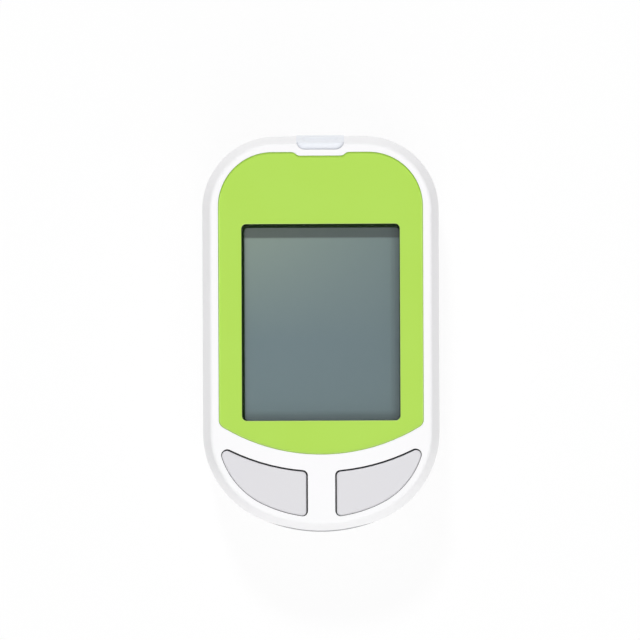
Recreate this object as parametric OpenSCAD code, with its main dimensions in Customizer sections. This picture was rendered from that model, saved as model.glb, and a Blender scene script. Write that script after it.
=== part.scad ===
// Blood glucose meter, lying on its back: +Z leaves the display, +Y points to the strip port.
// The origin is on the resting plane under the middle of the body. Lengths are in millimetres.

/* [Body] */
// Width across the side walls
body_w = 58; // [56.5:0.5:63]
// Length from the button end to the strip end
body_l = 97; // [96:0.5:103]
// Thickness of the closed body, without its feet
body_t = 20; // [19.8:0.1:23]
// Radius of the two corners at the strip end
end_corner_r = 18.1; // [15:0.1:20]
// Radius of the wide arc across the button end
base_arc_r = 36.5; // [34:0.5:45]
// Radius that blends the wide arc into the sides
base_corner_r = 23.15; // [20:0.05:24]
// Height of the parting line above the back face
split_h = 10; // [9.5:0.1:11]
// How far the side walls lean in between the parting line and the shoulder
side_lean = 1.7; // [1.2:0.1:2.1]
// Radius of the shoulder round the front face
shoulder_r = 0.9; // [0.7:0.1:1.6]
// Radius of the edge round the back face
back_edge_r = 6; // [4:0.5:6.5]
// How far the rear cover's sides lean in towards the back edge
back_lean = 0.3; // [0.1:0.1:0.6]
// Depth of the groove along the parting line
groove = 0.25; // [0.1:0.05:0.4]

/* [Walls] */
// Thickness of the side walls
side_wall = 1.8; // [1.5:0.1:2]
// Thickness of the front wall
front_wall = 2; // [1.8:0.1:2.2]
// Radius inside the front cover, between its side walls and front wall
inner_r = 0.8; // [0.4:0.1:1]
// Height of the rear cover's tongue above the parting line
tongue_h = 1.2; // [0.8:0.1:2]
// Thickness of the tongue
tongue_t = 0.9; // [0.7:0.1:1.2]
// Clearance between two pieces that seat in each other
fit = 0.1; // [0.05:0.05:0.15]

/* [Faceplate] */
// Margin between the body's side and the faceplate
plate_margin = 4; // [3.5:0.1:4.5]
// Margin between the strip end and the faceplate
plate_end_margin = 4; // [3.5:0.1:4.5]
// Margin between the button end and the faceplate
plate_base_margin = 19.1; // [18:0.1:20.5]
// Radius of the faceplate's corners at the strip end
plate_corner_r = 13.2; // [10:0.1:15]
// Radius of the arc across the faceplate's lower end
plate_arc_r = 46.5; // [42:0.5:60]
// Radius between that arc and the straight sides
plate_base_r = 2; // [1:0.1:4]
// Thickness of the faceplate
plate_t = 0.7; // [0.6:0.1:0.9]
// Depth of the faceplate's surface under the front face
plate_sunk = 0.4; // [0.1:0.05:0.4]
// Width of the flat bottom of the notch below the strip port
notch_w = 9.8; // [8:0.1:12]
// Depth of that notch
notch_depth = 0.9; // [0.6:0.1:1.4]
// Radius of the notch's curved flanks
notch_r = 1.7; // [1:0.1:2.5]

/* [Window] */
// Margin between the body's side and the display window
window_margin = 9.6; // [9.4:0.1:11]
// Distance from the faceplate's upper edge to the window
window_drop = 17.5; // [16:0.1:20]
// Distance from the window to the faceplate's lower end
window_base = 8.2; // [7:0.1:11]
// Corner radius of the window
window_r = 1.2; // [0.8:0.1:3]
// Thickness of the display lens
lens_t = 0.8; // [0.6:0.1:0.9]
// How far the lens reaches under the faceplate on each side
lens_lap = 1.1; // [0.8:0.1:1.4]
// Thickness of the foam gasket on the display
gasket_t = 0.3; // [0.2:0.05:0.4]
// How far the gasket shows inside the window on average
gasket_show = 0.45; // [0.3:0.05:0.6]
// How far the gasket's opening sits to the right of the window's middle
gasket_right = 0.25; // [0:0.05:0.3]
// How far the gasket's opening sits below the window's middle
gasket_down = 0.4; // [0:0.05:0.4]

/* [Display] */
// Thickness of each glass of the display
glass_t = 0.7; // [0.5:0.05:0.75]
// Thickness of each film on the display
film_t = 0.2; // [0.15:0.05:0.25]
// How far the glass reaches past the window on each side
glass_lap = 1.1; // [0.8:0.1:1.2]
// Length of the front glass's contact ledge, past the rear glass
ledge_l = 2.5; // [2.2:0.1:3]
// Gap between the display's reflector and the board
display_lift = 0.5; // [0.3:0.05:0.6]
// Wall thickness of the display holder
holder_wall = 1; // [0.8:0.1:1.1]
// Width of the zebra strip
zebra_w = 1.6; // [1.2:0.1:1.8]

/* [Buttons] */
// Width of the web of front cover between the two buttons
web_w = 6.7; // [6.6:0.1:9]
// Margin between the body's edge and the button openings
button_margin = 3.55; // [3.4:0.05:4.5]
// Width of the front cover between the faceplate and the button openings
button_drop = 4.1; // [3.5:0.1:5]
// Corner radius of the button openings
button_r = 1.3; // [1.3:0.1:2]
// Average gap between a button and its opening
button_gap = 0.25; // [0.2:0.05:0.35]
// How far a button sits off the middle of its opening, outwards and downwards
button_shift = 0.12; // [0:0.02:0.12]
// Travel of a button
button_travel = 0.5; // [0.3:0.05:0.6]
// Depth of a button's face under the front face
button_sunk = 0.2; // [0:0.05:0.3]
// Thickness of a button's face
button_face = 1.2; // [1:0.1:1.4]
// Thickness of a button's skirt
button_skirt = 0.9; // [0.6:0.05:0.9]
// Width of the rounded edge on a button's face
button_edge = 0.6; // [0.3:0.1:0.8]
// How far a button's flange reaches past its opening
flange_lap = 0.9; // [0.6:0.1:0.9]
// Thickness of that flange
flange_t = 0.9; // [0.7:0.1:1]
// Radius of the nub that meets the switch
nub_r = 1.5; // [1:0.1:2]

/* [Strip port] */
// Width of the strip port insert
port_w = 11.5; // [10.5:0.1:12.5]
// Depth of the insert from the strip end
port_depth = 3.2; // [3.2:0.1:3.5]
// Radius of the insert's inner corners
port_corner_r = 2; // [0.8:0.1:2]
// How far the insert stands proud of the strip end
port_proud = 0.25; // [0.1:0.05:0.4]
// Depth of the insert's upper face under the front face
port_sunk = 0.8; // [0.1:0.1:0.8]
// Width of the flange that holds the insert, on each side of it
port_flange_w = 1.8; // [1.2:0.1:2.5]
// Thickness of that flange
port_flange_t = 1.2; // [0.8:0.1:1.6]
// Width of the strip slot
slot_w = 7.2; // [6:0.1:8]
// Height of the strip slot
slot_h = 1.3; // [1:0.1:1.5]
// Width of the lead-in round the slot's mouth
slot_lead = 0.5; // [0.3:0.1:0.8]
// Height of the strip's middle above the board
strip_h = 1.5; // [1.3:0.1:1.6]
// Length of the strip connector
connector_l = 11; // [8:0.5:12]
// Wall beside the connector's slot
connector_wall = 2.6; // [1.5:0.1:3]
// Spacing of the connector's contacts
contact_pitch = 1.3; // [1:0.1:1.4]

/* [Batteries] */
// Radius of a battery cell
cell_r = 5.25; // [5.1:0.05:5.3]
// Clearance round each cell
cell_gap = 0.2; // [0.1:0.05:0.25]
// Thickness of a cell's jacket
jacket_t = 0.13; // [0.1:0.01:0.2]
// Radius of a cell's positive cap
cap_r = 1.9; // [1.5:0.1:2.5]
// Height of that cap
cap_h = 1; // [0.8:0.1:1.2]
// Wall thickness of the battery compartment
tub_wall = 1.2; // [1:0.1:1.4]
// Thickness of the compartment's roof
tub_roof_t = 0.9; // [0.7:0.05:0.95]
// Distance from the strip end to the compartment
tub_end = 26; // [25:0.1:27]
// Distance from the button end to the compartment
tub_base = 21; // [20:0.1:22]
// Thickness of the battery contacts
contact_t = 0.4; // [0.3:0.05:0.5]
// Height of the dimple that meets a cell's cap
dimple_h = 0.4; // [0.3:0.05:0.6]
// Length of a contact spring under load
spring_l = 4.2; // [3.5:0.1:5]
// Radius of the spring wire
wire_r = 0.3; // [0.25:0.05:0.4]
// Radius of a contact spring at its plate
spring_base_r = 3.4; // [3:0.1:3.6]
// Radius of a contact spring at the cell
spring_tip_r = 2.2; // [1.8:0.1:2.6]
// Turns of a contact spring
spring_turns = 3; // [2:0.5:4]

/* [Battery door] */
// Thickness of the battery door and of the back wall round it
door_t = 1.6; // [1.4:0.1:1.7]
// Width of the battery door
door_w = 27; // [26:0.1:27.6]
// Corner radius of the door
door_r = 3; // [1.5:0.1:4]
// Gap between the door and the rear cover
door_gap = 0.15; // [0.1:0.05:0.25]
// How far the door reaches past the compartment at its latch end
latch_lap = 3.5; // [3:0.1:4]
// How far the door reaches past the compartment at its hook end
hinge_lap = 4.2; // [4.2:0.1:4.8]
// Width of each hook tab
hook_w = 5; // [3:0.1:6]
// Distance of each hook tab from the middle of the door
hook_x = 7; // [6:0.1:8]
// How far the hook tabs reach past the door's pivot
hook_reach = 2.4; // [2:0.1:2.6]
// Thickness of the hook tabs
hook_t = 1; // [0.8:0.1:1.1]
// Width of the latch tab
latch_w = 9; // [7:0.1:11]
// Length of the latch tab past the door's edge
latch_l = 2.3; // [1.8:0.1:2.4]
// Length of the slots that free the latch tab
latch_slot_l = 5; // [3:0.1:7]
// Width of those slots
latch_slot_w = 0.7; // [0.5:0.1:1]
// Gap past the latch tab, which takes a fingernail
nail_gap = 0.9; // [0.7:0.1:1.2]
// Depth and width of the grip grooves in the door
grip = 0.35; // [0.2:0.05:0.5]
// Width of the frame round the door recess
frame_w = 1.4; // [1:0.1:1.6]
// Thickness of the ledge that the door rests on
frame_t = 1.2; // [1:0.1:1.6]

/* [Board] */
// Thickness of the circuit board
board_t = 1; // [0.8:0.1:1.1]
// Gap between the circuit board and the side walls
board_edge_gap = 0.4; // [0.3:0.05:0.6]
// Clearance between the compartment's roof and the board
board_gap = 0.1; // [0.05:0.05:0.2]

/* [Fasteners] */
// Distance of the upper cover screws from the body's sides
cover_screw_side = 12; // [11.5:0.1:12.4]
// Distance of the upper cover screws from the strip end
cover_screw_end = 12; // [11.5:0.1:13]
// Wall between the latch's notch and the hole of the lower cover screw
base_screw_wall = 1.7; // [1.2:0.1:2]
// Radius of a cover screw's shank
cover_shank_r = 0.95; // [0.9:0.05:1.05]
// Radius of a cover screw's head
cover_head_r = 1.9; // [1.7:0.05:2]
// Height of a cover screw's head
cover_head_h = 1.5; // [1.2:0.1:1.8]
// Length of a cover screw's shank
cover_shank_l = 9.5; // [8.5:0.1:11]
// Height of the cover screws' seats above the back face
cover_seat_h = 4.5; // [4:0.1:5.5]
// Radius of the front cover's upper screw bosses
boss_r = 2.5; // [2.2:0.1:2.7]
// Radius of the front cover's lower screw boss
base_boss_r = 2.2; // [2:0.05:2.3]
// Radius of the rear cover's screw posts
post_r = 2.9; // [2.8:0.1:3]
// Clearance between a screw's shank and the boss that holds it
screw_gap = 0.05; // [0.03:0.01:0.08]
// Clearance between a screw's shank and the wall that it passes
pass_gap = 0.2; // [0.15:0.05:0.3]
// Radius of a board screw's shank
board_shank_r = 0.75; // [0.6:0.05:0.8]
// Radius of a board screw's head
board_head_r = 1.5; // [1.3:0.05:1.6]
// Height of a board screw's head
board_head_h = 0.9; // [0.8:0.1:1.2]
// Length of a board screw's shank
board_shank_l = 4; // [3:0.1:4.1]
// Radius of the board screws' bosses
board_boss_r = 1.7; // [1.5:0.1:1.8]
// Distance of the board screws from the window's ends
board_screw_end = 3.1; // [2.5:0.1:6]

/* [Feet and label] */
// Radius of a rubber foot
foot_r = 2.5; // [2:0.1:2.6]
// Height of the feet under the back face
foot_h = 0.5; // [0.3:0.1:0.8]
// Depth of the feet's seats in the back face
foot_seat = 0.6; // [0.4:0.1:0.8]
// Distance of the upper feet from the strip end
foot_end = 22; // [20:0.5:24]
// Width of the rating label
label_w = 26; // [20:0.5:26.5]
// Length of the rating label
label_l = 10; // [8:0.5:10.5]
// Thickness of the rating label
label_t = 0.15; // [0.1:0.05:0.2]
// Corner radius of the rating label
label_r = 1.2; // [0.5:0.1:2]

/* [Electronics] */
// Width of a tactile switch
switch_w = 6; // [5.6:0.1:6.2]
// Height of a tactile switch without its plunger
switch_h = 2; // [1.8:0.1:2.1]
// Thickness of a switch's steel cover
switch_cover_t = 0.25; // [0.2:0.05:0.3]
// Distance of the switches from the web between the buttons
switch_in = 9.5; // [8.5:0.1:10.5]
// Radius of a switch plunger
plunger_r = 1.6; // [1.3:0.1:1.8]
// Running clearance round a switch plunger
plunger_gap = 0.05; // [0.03:0.01:0.08]
// Height of a resting plunger above its switch
plunger_up = 0.7; // [0.65:0.05:0.8]
// Length of a resting plunger inside its switch
plunger_in = 1; // [0.8:0.05:1.05]
// Radius of the buzzer
buzzer_r = 5.5; // [4.5:0.1:5.6]
// Height of the buzzer
buzzer_h = 5; // [3:0.5:6]
// Radius of the holes that let the buzzer's sound out
sound_hole_r = 0.5; // [0.3:0.05:0.6]
// Radius of the ring of those holes
sound_ring_r = 2; // [1.6:0.1:2.4]
// Width of the microcontroller's body
controller_w = 7; // [6:0.1:7.4]
// Thickness of a chip's body
chip_t = 1.1; // [0.9:0.1:1.3]
// Width of the small chips' bodies
small_chip_w = 4; // [3.5:0.1:4.2]
// Length of the small chips' bodies
small_chip_l = 5; // [4.5:0.1:5.5]
// Length of a chip's leads past its body
lead_l = 0.9; // [0.7:0.1:1]
// Spacing of a chip's leads
lead_pitch = 0.8; // [0.65:0.05:0.8]
// Width of a chip's leads
lead_w = 0.35; // [0.25:0.05:0.4]
// Length of the crystal's can
crystal_l = 8; // [6:0.5:9]
// Width of the crystal's can
crystal_w = 3.2; // [2.6:0.1:3.6]
// Height of the crystal's can
crystal_h = 1.6; // [1.2:0.1:2]
// Length of a chip capacitor or resistor
passive_l = 1.6; // [1:0.1:1.8]
// Width of a chip capacitor or resistor
passive_w = 0.8; // [0.5:0.1:1]

/* [Hidden] */

$fn = 48;
sides = [-1, 1];
// How far a cut runs past the surface that it breaks
over = 1;
// How far a joined block is sunk into the wall that carries it
sunk = 0.3;

// Heights from the back face up to the display
rear_wall = door_t;
back_z = foot_h;
split_z = back_z + split_h;
top_z = back_z + body_t;
roof_z = top_z - front_wall;
floor_z = back_z + rear_wall;
door_top = back_z + door_t;
door_seat = door_top + fit / 2;
cell_z = door_top + cell_gap + cell_r;
tub_roof_z = cell_z + cell_r + cell_gap;
tub_top = tub_roof_z + tub_roof_t;
board_z = tub_top + board_gap;
board_top = board_z + board_t;
reflector_z = board_top + display_lift;
rear_glass_z = reflector_z + film_t;
front_glass_z = rear_glass_z + glass_t;
polarizer_z = front_glass_z + glass_t;
display_top = polarizer_z + film_t;
ledge_z = display_top + gasket_t;
// Heights from the front face down
plate_top = top_z - plate_sunk;
plate_z = plate_top - plate_t;
lens_z = plate_z - lens_t;
button_top = top_z - button_sunk;
button_roof = button_top - button_face;
flange_top = roof_z - fit;
flange_z = flange_top - flange_t;
port_top = top_z - port_sunk;
strip_z = board_top + strip_h;

// Body outline: the centres of its arcs
half_w = body_w / 2;
half_l = body_l / 2;
end_x = half_w - end_corner_r;
end_y = half_l - end_corner_r;
base_y = base_arc_r - half_l;
base_corner_x = half_w - base_corner_r;
base_corner_y = base_y - sqrt(pow(base_arc_r - base_corner_r, 2) - pow(base_corner_x, 2));
base_turn = atan(base_corner_x / (base_y - base_corner_y));

// Profiles of the covers, as [inset from the outline, height]
lean_h = top_z - shoulder_r - split_z;
lean = atan(side_lean / lean_h);
front_steps = concat(
    [[groove, split_z], [0, split_z + groove]],
    [for (k = [0 : 5]) let (a = lean + (90 - lean) * k / 5)
        [side_lean + shoulder_r * (cos(lean) - cos(a)), top_z - shoulder_r * (1 - sin(a))]]);
inner_lean = side_lean * (roof_z - inner_r - split_z) / lean_h;
front_inner_steps = concat(
    [[side_wall, split_z - over], [side_wall, split_z]],
    [for (a = [0 : 30 : 90])
        [side_wall + inner_lean + inner_r * (1 - cos(a)), roof_z - inner_r * (1 - sin(a))]]);
rear_steps = concat(
    [for (a = [90 : -15 : 0])
        [back_lean + back_edge_r * (1 - cos(a)), back_z + back_edge_r * (1 - sin(a))]],
    [[0, split_z - groove], [groove, split_z]]);
board_margin = side_wall + side_lean * (board_top - split_z) / lean_h + board_edge_gap;
rear_inner_r = back_edge_r - side_wall;
rear_inner_steps = concat(
    [for (a = [90 : -30 : 0])
        [side_wall + back_lean + rear_inner_r * (1 - cos(a)), floor_z + rear_inner_r * (1 - sin(a))]],
    [[side_wall, split_z], [side_wall, split_z + over]]);
tongue_out = side_wall + side_lean * tongue_h / lean_h + fit;
tongue_in = tongue_out + tongue_t;
tongue_root = 2;
button_steps = concat([[button_gap, flange_z]],
    [for (a = [0 : 22.5 : 90])
        [button_gap + button_edge * (1 - cos(a)), button_top - button_edge * (1 - sin(a))]]);

// Faceplate outline
plate_half = half_w - plate_margin;
plate_y1 = half_l - plate_end_margin;
plate_y0 = plate_base_margin - half_l;
plate_arc_y = plate_y0 + plate_arc_r;
plate_base_x = plate_half - plate_base_r;
plate_base_y = plate_arc_y - sqrt(pow(plate_arc_r - plate_base_r, 2) - pow(plate_base_x, 2));
plate_base_turn = atan(plate_base_x / (plate_arc_y - plate_base_y));
notch_turn = acos(1 - notch_depth / (2 * notch_r));
notch_half = notch_w / 2;
notch_outer = notch_half + 2 * notch_r * sin(notch_turn);

// Window and display
window_half = half_w - window_margin;
window_y1 = plate_y1 - window_drop;
window_y0 = plate_y0 + window_base;
window_y = (window_y0 + window_y1) / 2;
bezel_w = 1;
glass_half = window_half + glass_lap;
glass_y0 = window_y0 - glass_lap;
glass_y1 = window_y1 + glass_lap;
glass_ledge_y = glass_y0 - ledge_l;
film_margin = 0.4;
holder_half = glass_half + fit + holder_wall;
holder_y0 = glass_ledge_y - fit - holder_wall;
holder_y1 = glass_y1 + fit + holder_wall;
holder_rail = 1.5;
zebra_gap = 0.3;
zebra_margin = 1;
zebra_y = glass_ledge_y + zebra_gap;

// Button openings: an inner edge, a brow round the faceplate's lower end, the body's edge
web_half = web_w / 2;
brow_r = plate_arc_r + button_drop;
low_r = base_arc_r - button_margin;
flank_r = base_corner_r - button_margin;
inner_x = web_half + button_r;
brow_corner_turn = asin(inner_x / (brow_r + button_r));
brow_corner_y = plate_arc_y - (brow_r + button_r) * cos(brow_corner_turn);
low_corner_turn = asin(inner_x / (low_r - button_r));
low_corner_y = base_y - (low_r - button_r) * cos(low_corner_turn);
low_turn = (base_turn - low_corner_turn) / 4;
tip = circle_meet([0, plate_arc_y], brow_r + button_r,
    [base_corner_x, base_corner_y], flank_r - button_r);
tip_brow_turn = atan2(tip[0], plate_arc_y - tip[1]);
tip_flank_turn = atan2(tip[1] - base_corner_y, tip[0] - base_corner_x);
tip_turn = (90 + tip_brow_turn - tip_flank_turn) / 6;
flange_margin = side_wall + inner_lean + inner_r + 2 * button_shift;
brow_steps = 8;
brow_turn = (tip_brow_turn - brow_corner_turn) / brow_steps;

// Switches, midway between the upper and lower edges of their openings
switch_x = web_half + switch_in;
brow_y = plate_arc_y - sqrt(pow(brow_r, 2) - pow(switch_x, 2));
low_y = base_corner_y - sqrt(pow(flank_r, 2) - pow(switch_x - base_corner_x, 2));
switch_y = (brow_y + low_y) / 2;
switch_half = switch_w / 2;
switch_top = board_top + switch_h;
plunger_top = switch_top + plunger_up;
plunger_z = switch_top - plunger_in;
switch_leg_t = 0.2;
switch_leg_half = 1;

// Strip port and connector
port_half = port_w / 2;
port_y = half_l - port_depth;
port_flange_half = port_half + port_flange_w;
port_flange_y1 = half_l - side_wall - inner_lean - fit;
port_flange_y0 = port_flange_y1 - port_flange_t;
port_flange_top = roof_z - inner_r - fit;
port_neck_half = port_half - port_corner_r;
slot_face_y = half_l + port_proud - side_lean * (strip_z - split_z) / lean_h;
connector_half = slot_w / 2 + connector_wall;
connector_y1 = port_flange_y0 - fit;
connector_y0 = connector_y1 - connector_l;
connector_top = roof_z - 2 * fit;
connector_slot = slot_h / 2 - fit;
connector_back = 1.5;
contact_count = 5;
finger_w = 0.5;
finger_t = 0.15;
finger_foot = 1.2;
finger_setback = 2.5;
finger_tip = 1;

// Battery compartment, cells and contacts: the cells fill the compartment between their contacts
cell_slack = 0.05;
can_r = cell_r - jacket_t;
cell_x = cell_r + cell_gap / 2;
tub_half = 2 * cell_r + 1.5 * cell_gap;
tub_y0 = tub_base - half_l;
tub_y1 = half_l - tub_end;
cell_l = tub_y1 - tub_y0 - 2 * contact_t - dimple_h - spring_l - 2 * cell_slack;
tub_outer = tub_half + tub_wall;
cell_end = contact_t + dimple_h + cell_slack;
contact_half = 4;
tail_half = 0.8;
tail_gap = 0.3;
tail_proud = 0.3;
tail_top = board_top + tail_proud;
jacket_fit = 0.02;

// Battery door
door_half = door_w / 2;
door_y0 = tub_y0 - latch_lap;
door_y1 = tub_y1 + hinge_lap;
door_end_r = 0.2;
pivot_y = door_y1 - door_t / 2;
pivot_z = back_z + door_t / 2;
hook_lift = 0.2;
hook_z = door_top + hook_lift;
hook_top = hook_z + hook_t;
hook_root = 0.7;
hook_gap = 0.25;
hook_sweep = norm([hook_reach, hook_top - pivot_z]) + hook_gap;
hook_roof_t = 0.8;
latch_half = latch_w / 2;
latch_y = door_y0 - latch_l;
latch_gap = 0.35;
nib_end = 0.5;
nib_y = latch_y + nib_end;
nib_half = latch_half - 1;
nib_l = 0.8;
nib_h = 0.5;
nib_gap = 0.2;
grip_count = 4;
grip_half = 5;
grip_y = door_y0 + 2;
grip_pitch = 4 * grip;

// Fastener places
cover_screw_x = half_w - cover_screw_side;
cover_screw_y = half_l - cover_screw_end;
base_screw_y = latch_y - nail_gap - base_screw_wall - cover_head_r - pass_gap;
upper_screws = [[-cover_screw_x, cover_screw_y], [cover_screw_x, cover_screw_y]];
cover_screw_points = concat(upper_screws, [[0, base_screw_y]]);
seat_z = back_z + cover_seat_h;
board_screw_x = holder_half + fit + board_boss_r;
board_screw_points = [for (s = sides) for (y = [window_y0 + board_screw_end, window_y1 - board_screw_end])
    [s * board_screw_x, y]];

// Feet and label, on the flat part of the back face
back_flat = back_edge_r + back_lean;
foot_top = back_z + foot_seat;
foot_chamfer = 0.3;
base_foot_turn = 38;
base_foot_gap = 0.3;
foot_gap = 0.9;
base_foot_reach = base_corner_r - back_flat - foot_r - base_foot_gap;
foot_x = half_w - back_flat - foot_r - foot_gap;
foot_y = half_l - foot_end;
base_foot_x = base_corner_x + base_foot_reach * cos(base_foot_turn);
base_foot_y = base_corner_y - base_foot_reach * sin(base_foot_turn);
foot_points = [for (s = sides) each [[s * foot_x, foot_y], [s * base_foot_x, base_foot_y]]];
label_gap = 0.05;
label_end = 1;
label_y = half_l - back_flat - label_end - label_l / 2;

// Electronics on the board's underside: beside the batteries, and below the strip connector
side_x = (tub_outer + half_w - board_margin) / 2;
chip_lift = 0.1;
chip_low_z = board_z - chip_lift - chip_t;
part_gap = 1;
controller_drop = 2.7;
controller_y = window_y - controller_drop;
controller_reach = controller_w / 2 + lead_l + part_gap;
crystal_y = controller_y - controller_reach - crystal_w / 2;
capacitor_y = controller_y + controller_reach + passive_w / 2;
resistor_y = capacitor_y + passive_w + part_gap;
memory_y = resistor_y + passive_w / 2 + part_gap + small_chip_l / 2;
buzzer_y = window_y;
buzzer_port_r = 1;
sensor_y = (connector_y0 + connector_y1) / 2;
passive_x = small_chip_w / 2 + lead_l + part_gap + passive_l / 2;
passive_z = board_z - passive_w;
controller_leads = 8;
small_chip_leads = 6;
passive_pitch = 2.4;

// Where two circles meet, on the side of +X
function circle_meet(a, ra, b, rb) =
    let (d = norm(b - a), along = (d * d + ra * ra - rb * rb) / (2 * d),
         off = sqrt(ra * ra - along * along), u = (b - a) / d)
    a + along * u + off * [-u[1], u[0]];

// An arc is [centre x, centre y, radius, turn, first angle, last angle, steps]. A turn of 1 bulges
// out of the outline and -1 into it, so an inset shrinks the one radius and grows the other.
function outline(arcs, inset = 0) =
    [for (q = arcs) for (k = [0 : q[6]])
        let (a = q[4] + (q[5] - q[4]) * k / q[6], r = q[2] - q[3] * inset)
        [q[0] + r * cos(a), q[1] + r * sin(a)]];

// A rectangle with one radius at its lower corners and one at its upper corners
function box_arcs(x0, x1, y0, y1, r0, r1) = [
    [x1 - r0, y0 + r0, r0, 1, -90, 0, 5],
    [x1 - r1, y1 - r1, r1, 1, 0, 90, 5],
    [x0 + r1, y1 - r1, r1, 1, 90, 180, 5],
    [x0 + r0, y0 + r0, r0, 1, 180, 270, 5]
];

base_steps = 8;
base_step = 2 * base_turn / base_steps;
body_arcs = [
    [base_corner_x, base_corner_y, base_corner_r, 1, base_turn - 90, 0, 10],
    [end_x, end_y, end_corner_r, 1, 0, 90, 12],
    [-end_x, end_y, end_corner_r, 1, 90, 180, 12],
    [-base_corner_x, base_corner_y, base_corner_r, 1, 180, 270 - base_turn, 10],
    [0, base_y, base_arc_r, 1, 270 - base_turn + base_step, 270 + base_turn - base_step,
        base_steps - 2]
];

plate_steps = 14;
plate_step = 2 * plate_base_turn / plate_steps;
plate_arcs = [
    [plate_base_x, plate_base_y, plate_base_r, 1, plate_base_turn - 90, 0, 6],
    [plate_half - plate_corner_r, plate_y1 - plate_corner_r, plate_corner_r, 1, 0, 90, 12],
    [notch_outer, plate_y1 - notch_r, notch_r, 1, 90, 90 + notch_turn, 4],
    [notch_half, plate_y1 - notch_depth + notch_r, notch_r, -1,
        270 + notch_turn * 3 / 4, 270, 3],
    [-notch_half, plate_y1 - notch_depth + notch_r, notch_r, -1,
        270, 270 - notch_turn * 3 / 4, 3],
    [-notch_outer, plate_y1 - notch_r, notch_r, 1, 90 - notch_turn, 90, 4],
    [plate_corner_r - plate_half, plate_y1 - plate_corner_r, plate_corner_r, 1, 90, 180, 12],
    [-plate_base_x, plate_base_y, plate_base_r, 1, 180, 270 - plate_base_turn, 6],
    [0, plate_arc_y, plate_arc_r, 1, 270 - plate_base_turn + plate_step,
        270 + plate_base_turn - plate_step, plate_steps - 2]
];

// The right button's opening; the left one is its mirror image
button_arcs = [
    [inner_x, low_corner_y, button_r, 1, 180, 270 + low_corner_turn, 5],
    [0, base_y, low_r, 1, 270 + low_corner_turn + low_turn, 270 + base_turn - low_turn, 2],
    [base_corner_x, base_corner_y, flank_r, 1, base_turn - 90, tip_flank_turn, 8],
    [tip[0], tip[1], button_r, 1, tip_flank_turn + tip_turn, 90 + tip_brow_turn, 5],
    [0, plate_arc_y, brow_r, -1, 270 + tip_brow_turn - brow_turn,
        270 + brow_corner_turn + brow_turn, brow_steps - 2],
    [inner_x, brow_corner_y, button_r, 1, 90 + brow_corner_turn, 180, 5]
];

window_arcs = box_arcs(-window_half, window_half, window_y0, window_y1, window_r, window_r);
door_arcs = box_arcs(-door_half, door_half, door_y0, door_y1, door_r, door_end_r);
port_arcs = box_arcs(-port_half, port_half, port_y, half_l + over, port_corner_r, door_end_r);
label_arcs = box_arcs(-label_w / 2, label_w / 2, label_y - label_l / 2, label_y + label_l / 2,
    label_r, label_r);

// A flat piece with an outline, between two heights
module slab(points, z0, z1) {
    translate([0, 0, z0])
        linear_extrude(z1 - z0)
            polygon(points);
}

// A block between two corners
module block(low, high) {
    translate(low)
        cube(high - low);
}

// An upright round piece at a point
module post(at, r, z0, z1) {
    translate([at[0], at[1], z0])
        cylinder(h = z1 - z0, r = r);
}

// A round piece along +Y
module rod_y(at, r, l) {
    translate(at)
        rotate([-90, 0, 0])
            cylinder(h = l, r = r);
}

// A solid through a stack of outlines, each given as [inset, height], lowest first
module loft(arcs, steps) {
    n = len(outline(arcs));
    points = [for (s = steps) for (p = outline(arcs, s[0])) [p[0], p[1], s[1]]];
    walls = [for (j = [0 : len(steps) - 2]) for (k = [0 : n - 1])
        let (m = (k + 1) % n, a = j * n)
        [a + k, a + n + k, a + n + m, a + m]];
    last = (len(steps) - 1) * n;
    ends = [[for (k = [0 : n - 1]) k], [for (k = [n - 1 : -1 : 0]) last + k]];
    polyhedron(points, concat(walls, ends), convexity = 6);
}

// Two mirror images, left and right
module both_sides() {
    children();
    mirror([1, 0, 0])
        children();
}

module front_cover() {
    color("#fbfaf8")
    difference() {
        union() {
            difference() {
                loft(body_arcs, front_steps);
                loft(body_arcs, front_inner_steps);
            }
            slab(outline(window_arcs, -lens_lap - fit - bezel_w), ledge_z, roof_z + sunk);
            for (p = upper_screws)
                post(p, boss_r, split_z, roof_z + sunk);
            post([0, base_screw_y], base_boss_r, split_z, roof_z + sunk);
            for (p = board_screw_points)
                post(p, board_boss_r, board_top, roof_z + sunk);
        }
        slab(outline(plate_arcs, -fit), plate_z, top_z + over);
        slab(outline(window_arcs, -lens_lap - fit), lens_z, plate_z + over);
        slab(outline(window_arcs), ledge_z - over, plate_z + over);
        both_sides()
            slab(outline(button_arcs), roof_z - over, top_z + over);
        slab(outline(port_arcs, -fit), split_z - over, top_z + over);
        for (p = cover_screw_points)
            post(p, cover_shank_r + screw_gap, split_z - over, seat_z + cover_shank_l + fit);
        for (p = board_screw_points)
            post(p, board_shank_r + screw_gap, board_top - over, board_z + board_shank_l + fit);
    }
}

module rear_cover() {
    color("#f6f5f3")
    difference() {
        union() {
            difference() {
                loft(body_arcs, rear_steps);
                loft(body_arcs, rear_inner_steps);
            }
            tongue();
            battery_tub();
            door_frame();
            for (p = cover_screw_points)
                post(p, post_r, floor_z - sunk, split_z - fit / 2);
        }
        block([-tub_half, tub_y0, back_z - over], [tub_half, tub_y1, tub_roof_z]);
        slab(outline(door_arcs, -door_gap), back_z - over, door_seat);
        hook_pockets();
        latch_notch();
        for (s = sides)
            contact_slot(s * cell_x, tub_roof_z - over, tub_top + over);
        for (p = cover_screw_points) {
            post(p, cover_head_r + pass_gap, back_z - over, seat_z);
            post(p, cover_shank_r + pass_gap, back_z, split_z + over);
        }
        for (p = foot_points)
            post(p, foot_r + fit, back_z - over, foot_top);
        slab(outline(label_arcs, -fit), back_z - over, back_z + label_gap + label_t);
        post([-side_x, buzzer_y], sound_hole_r, back_z - over, floor_z + over);
        for (a = [0 : 60 : 300])
            post([-side_x + sound_ring_r * cos(a), buzzer_y + sound_ring_r * sin(a)],
                sound_hole_r, back_z - over, floor_z + over);
    }
}

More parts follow.
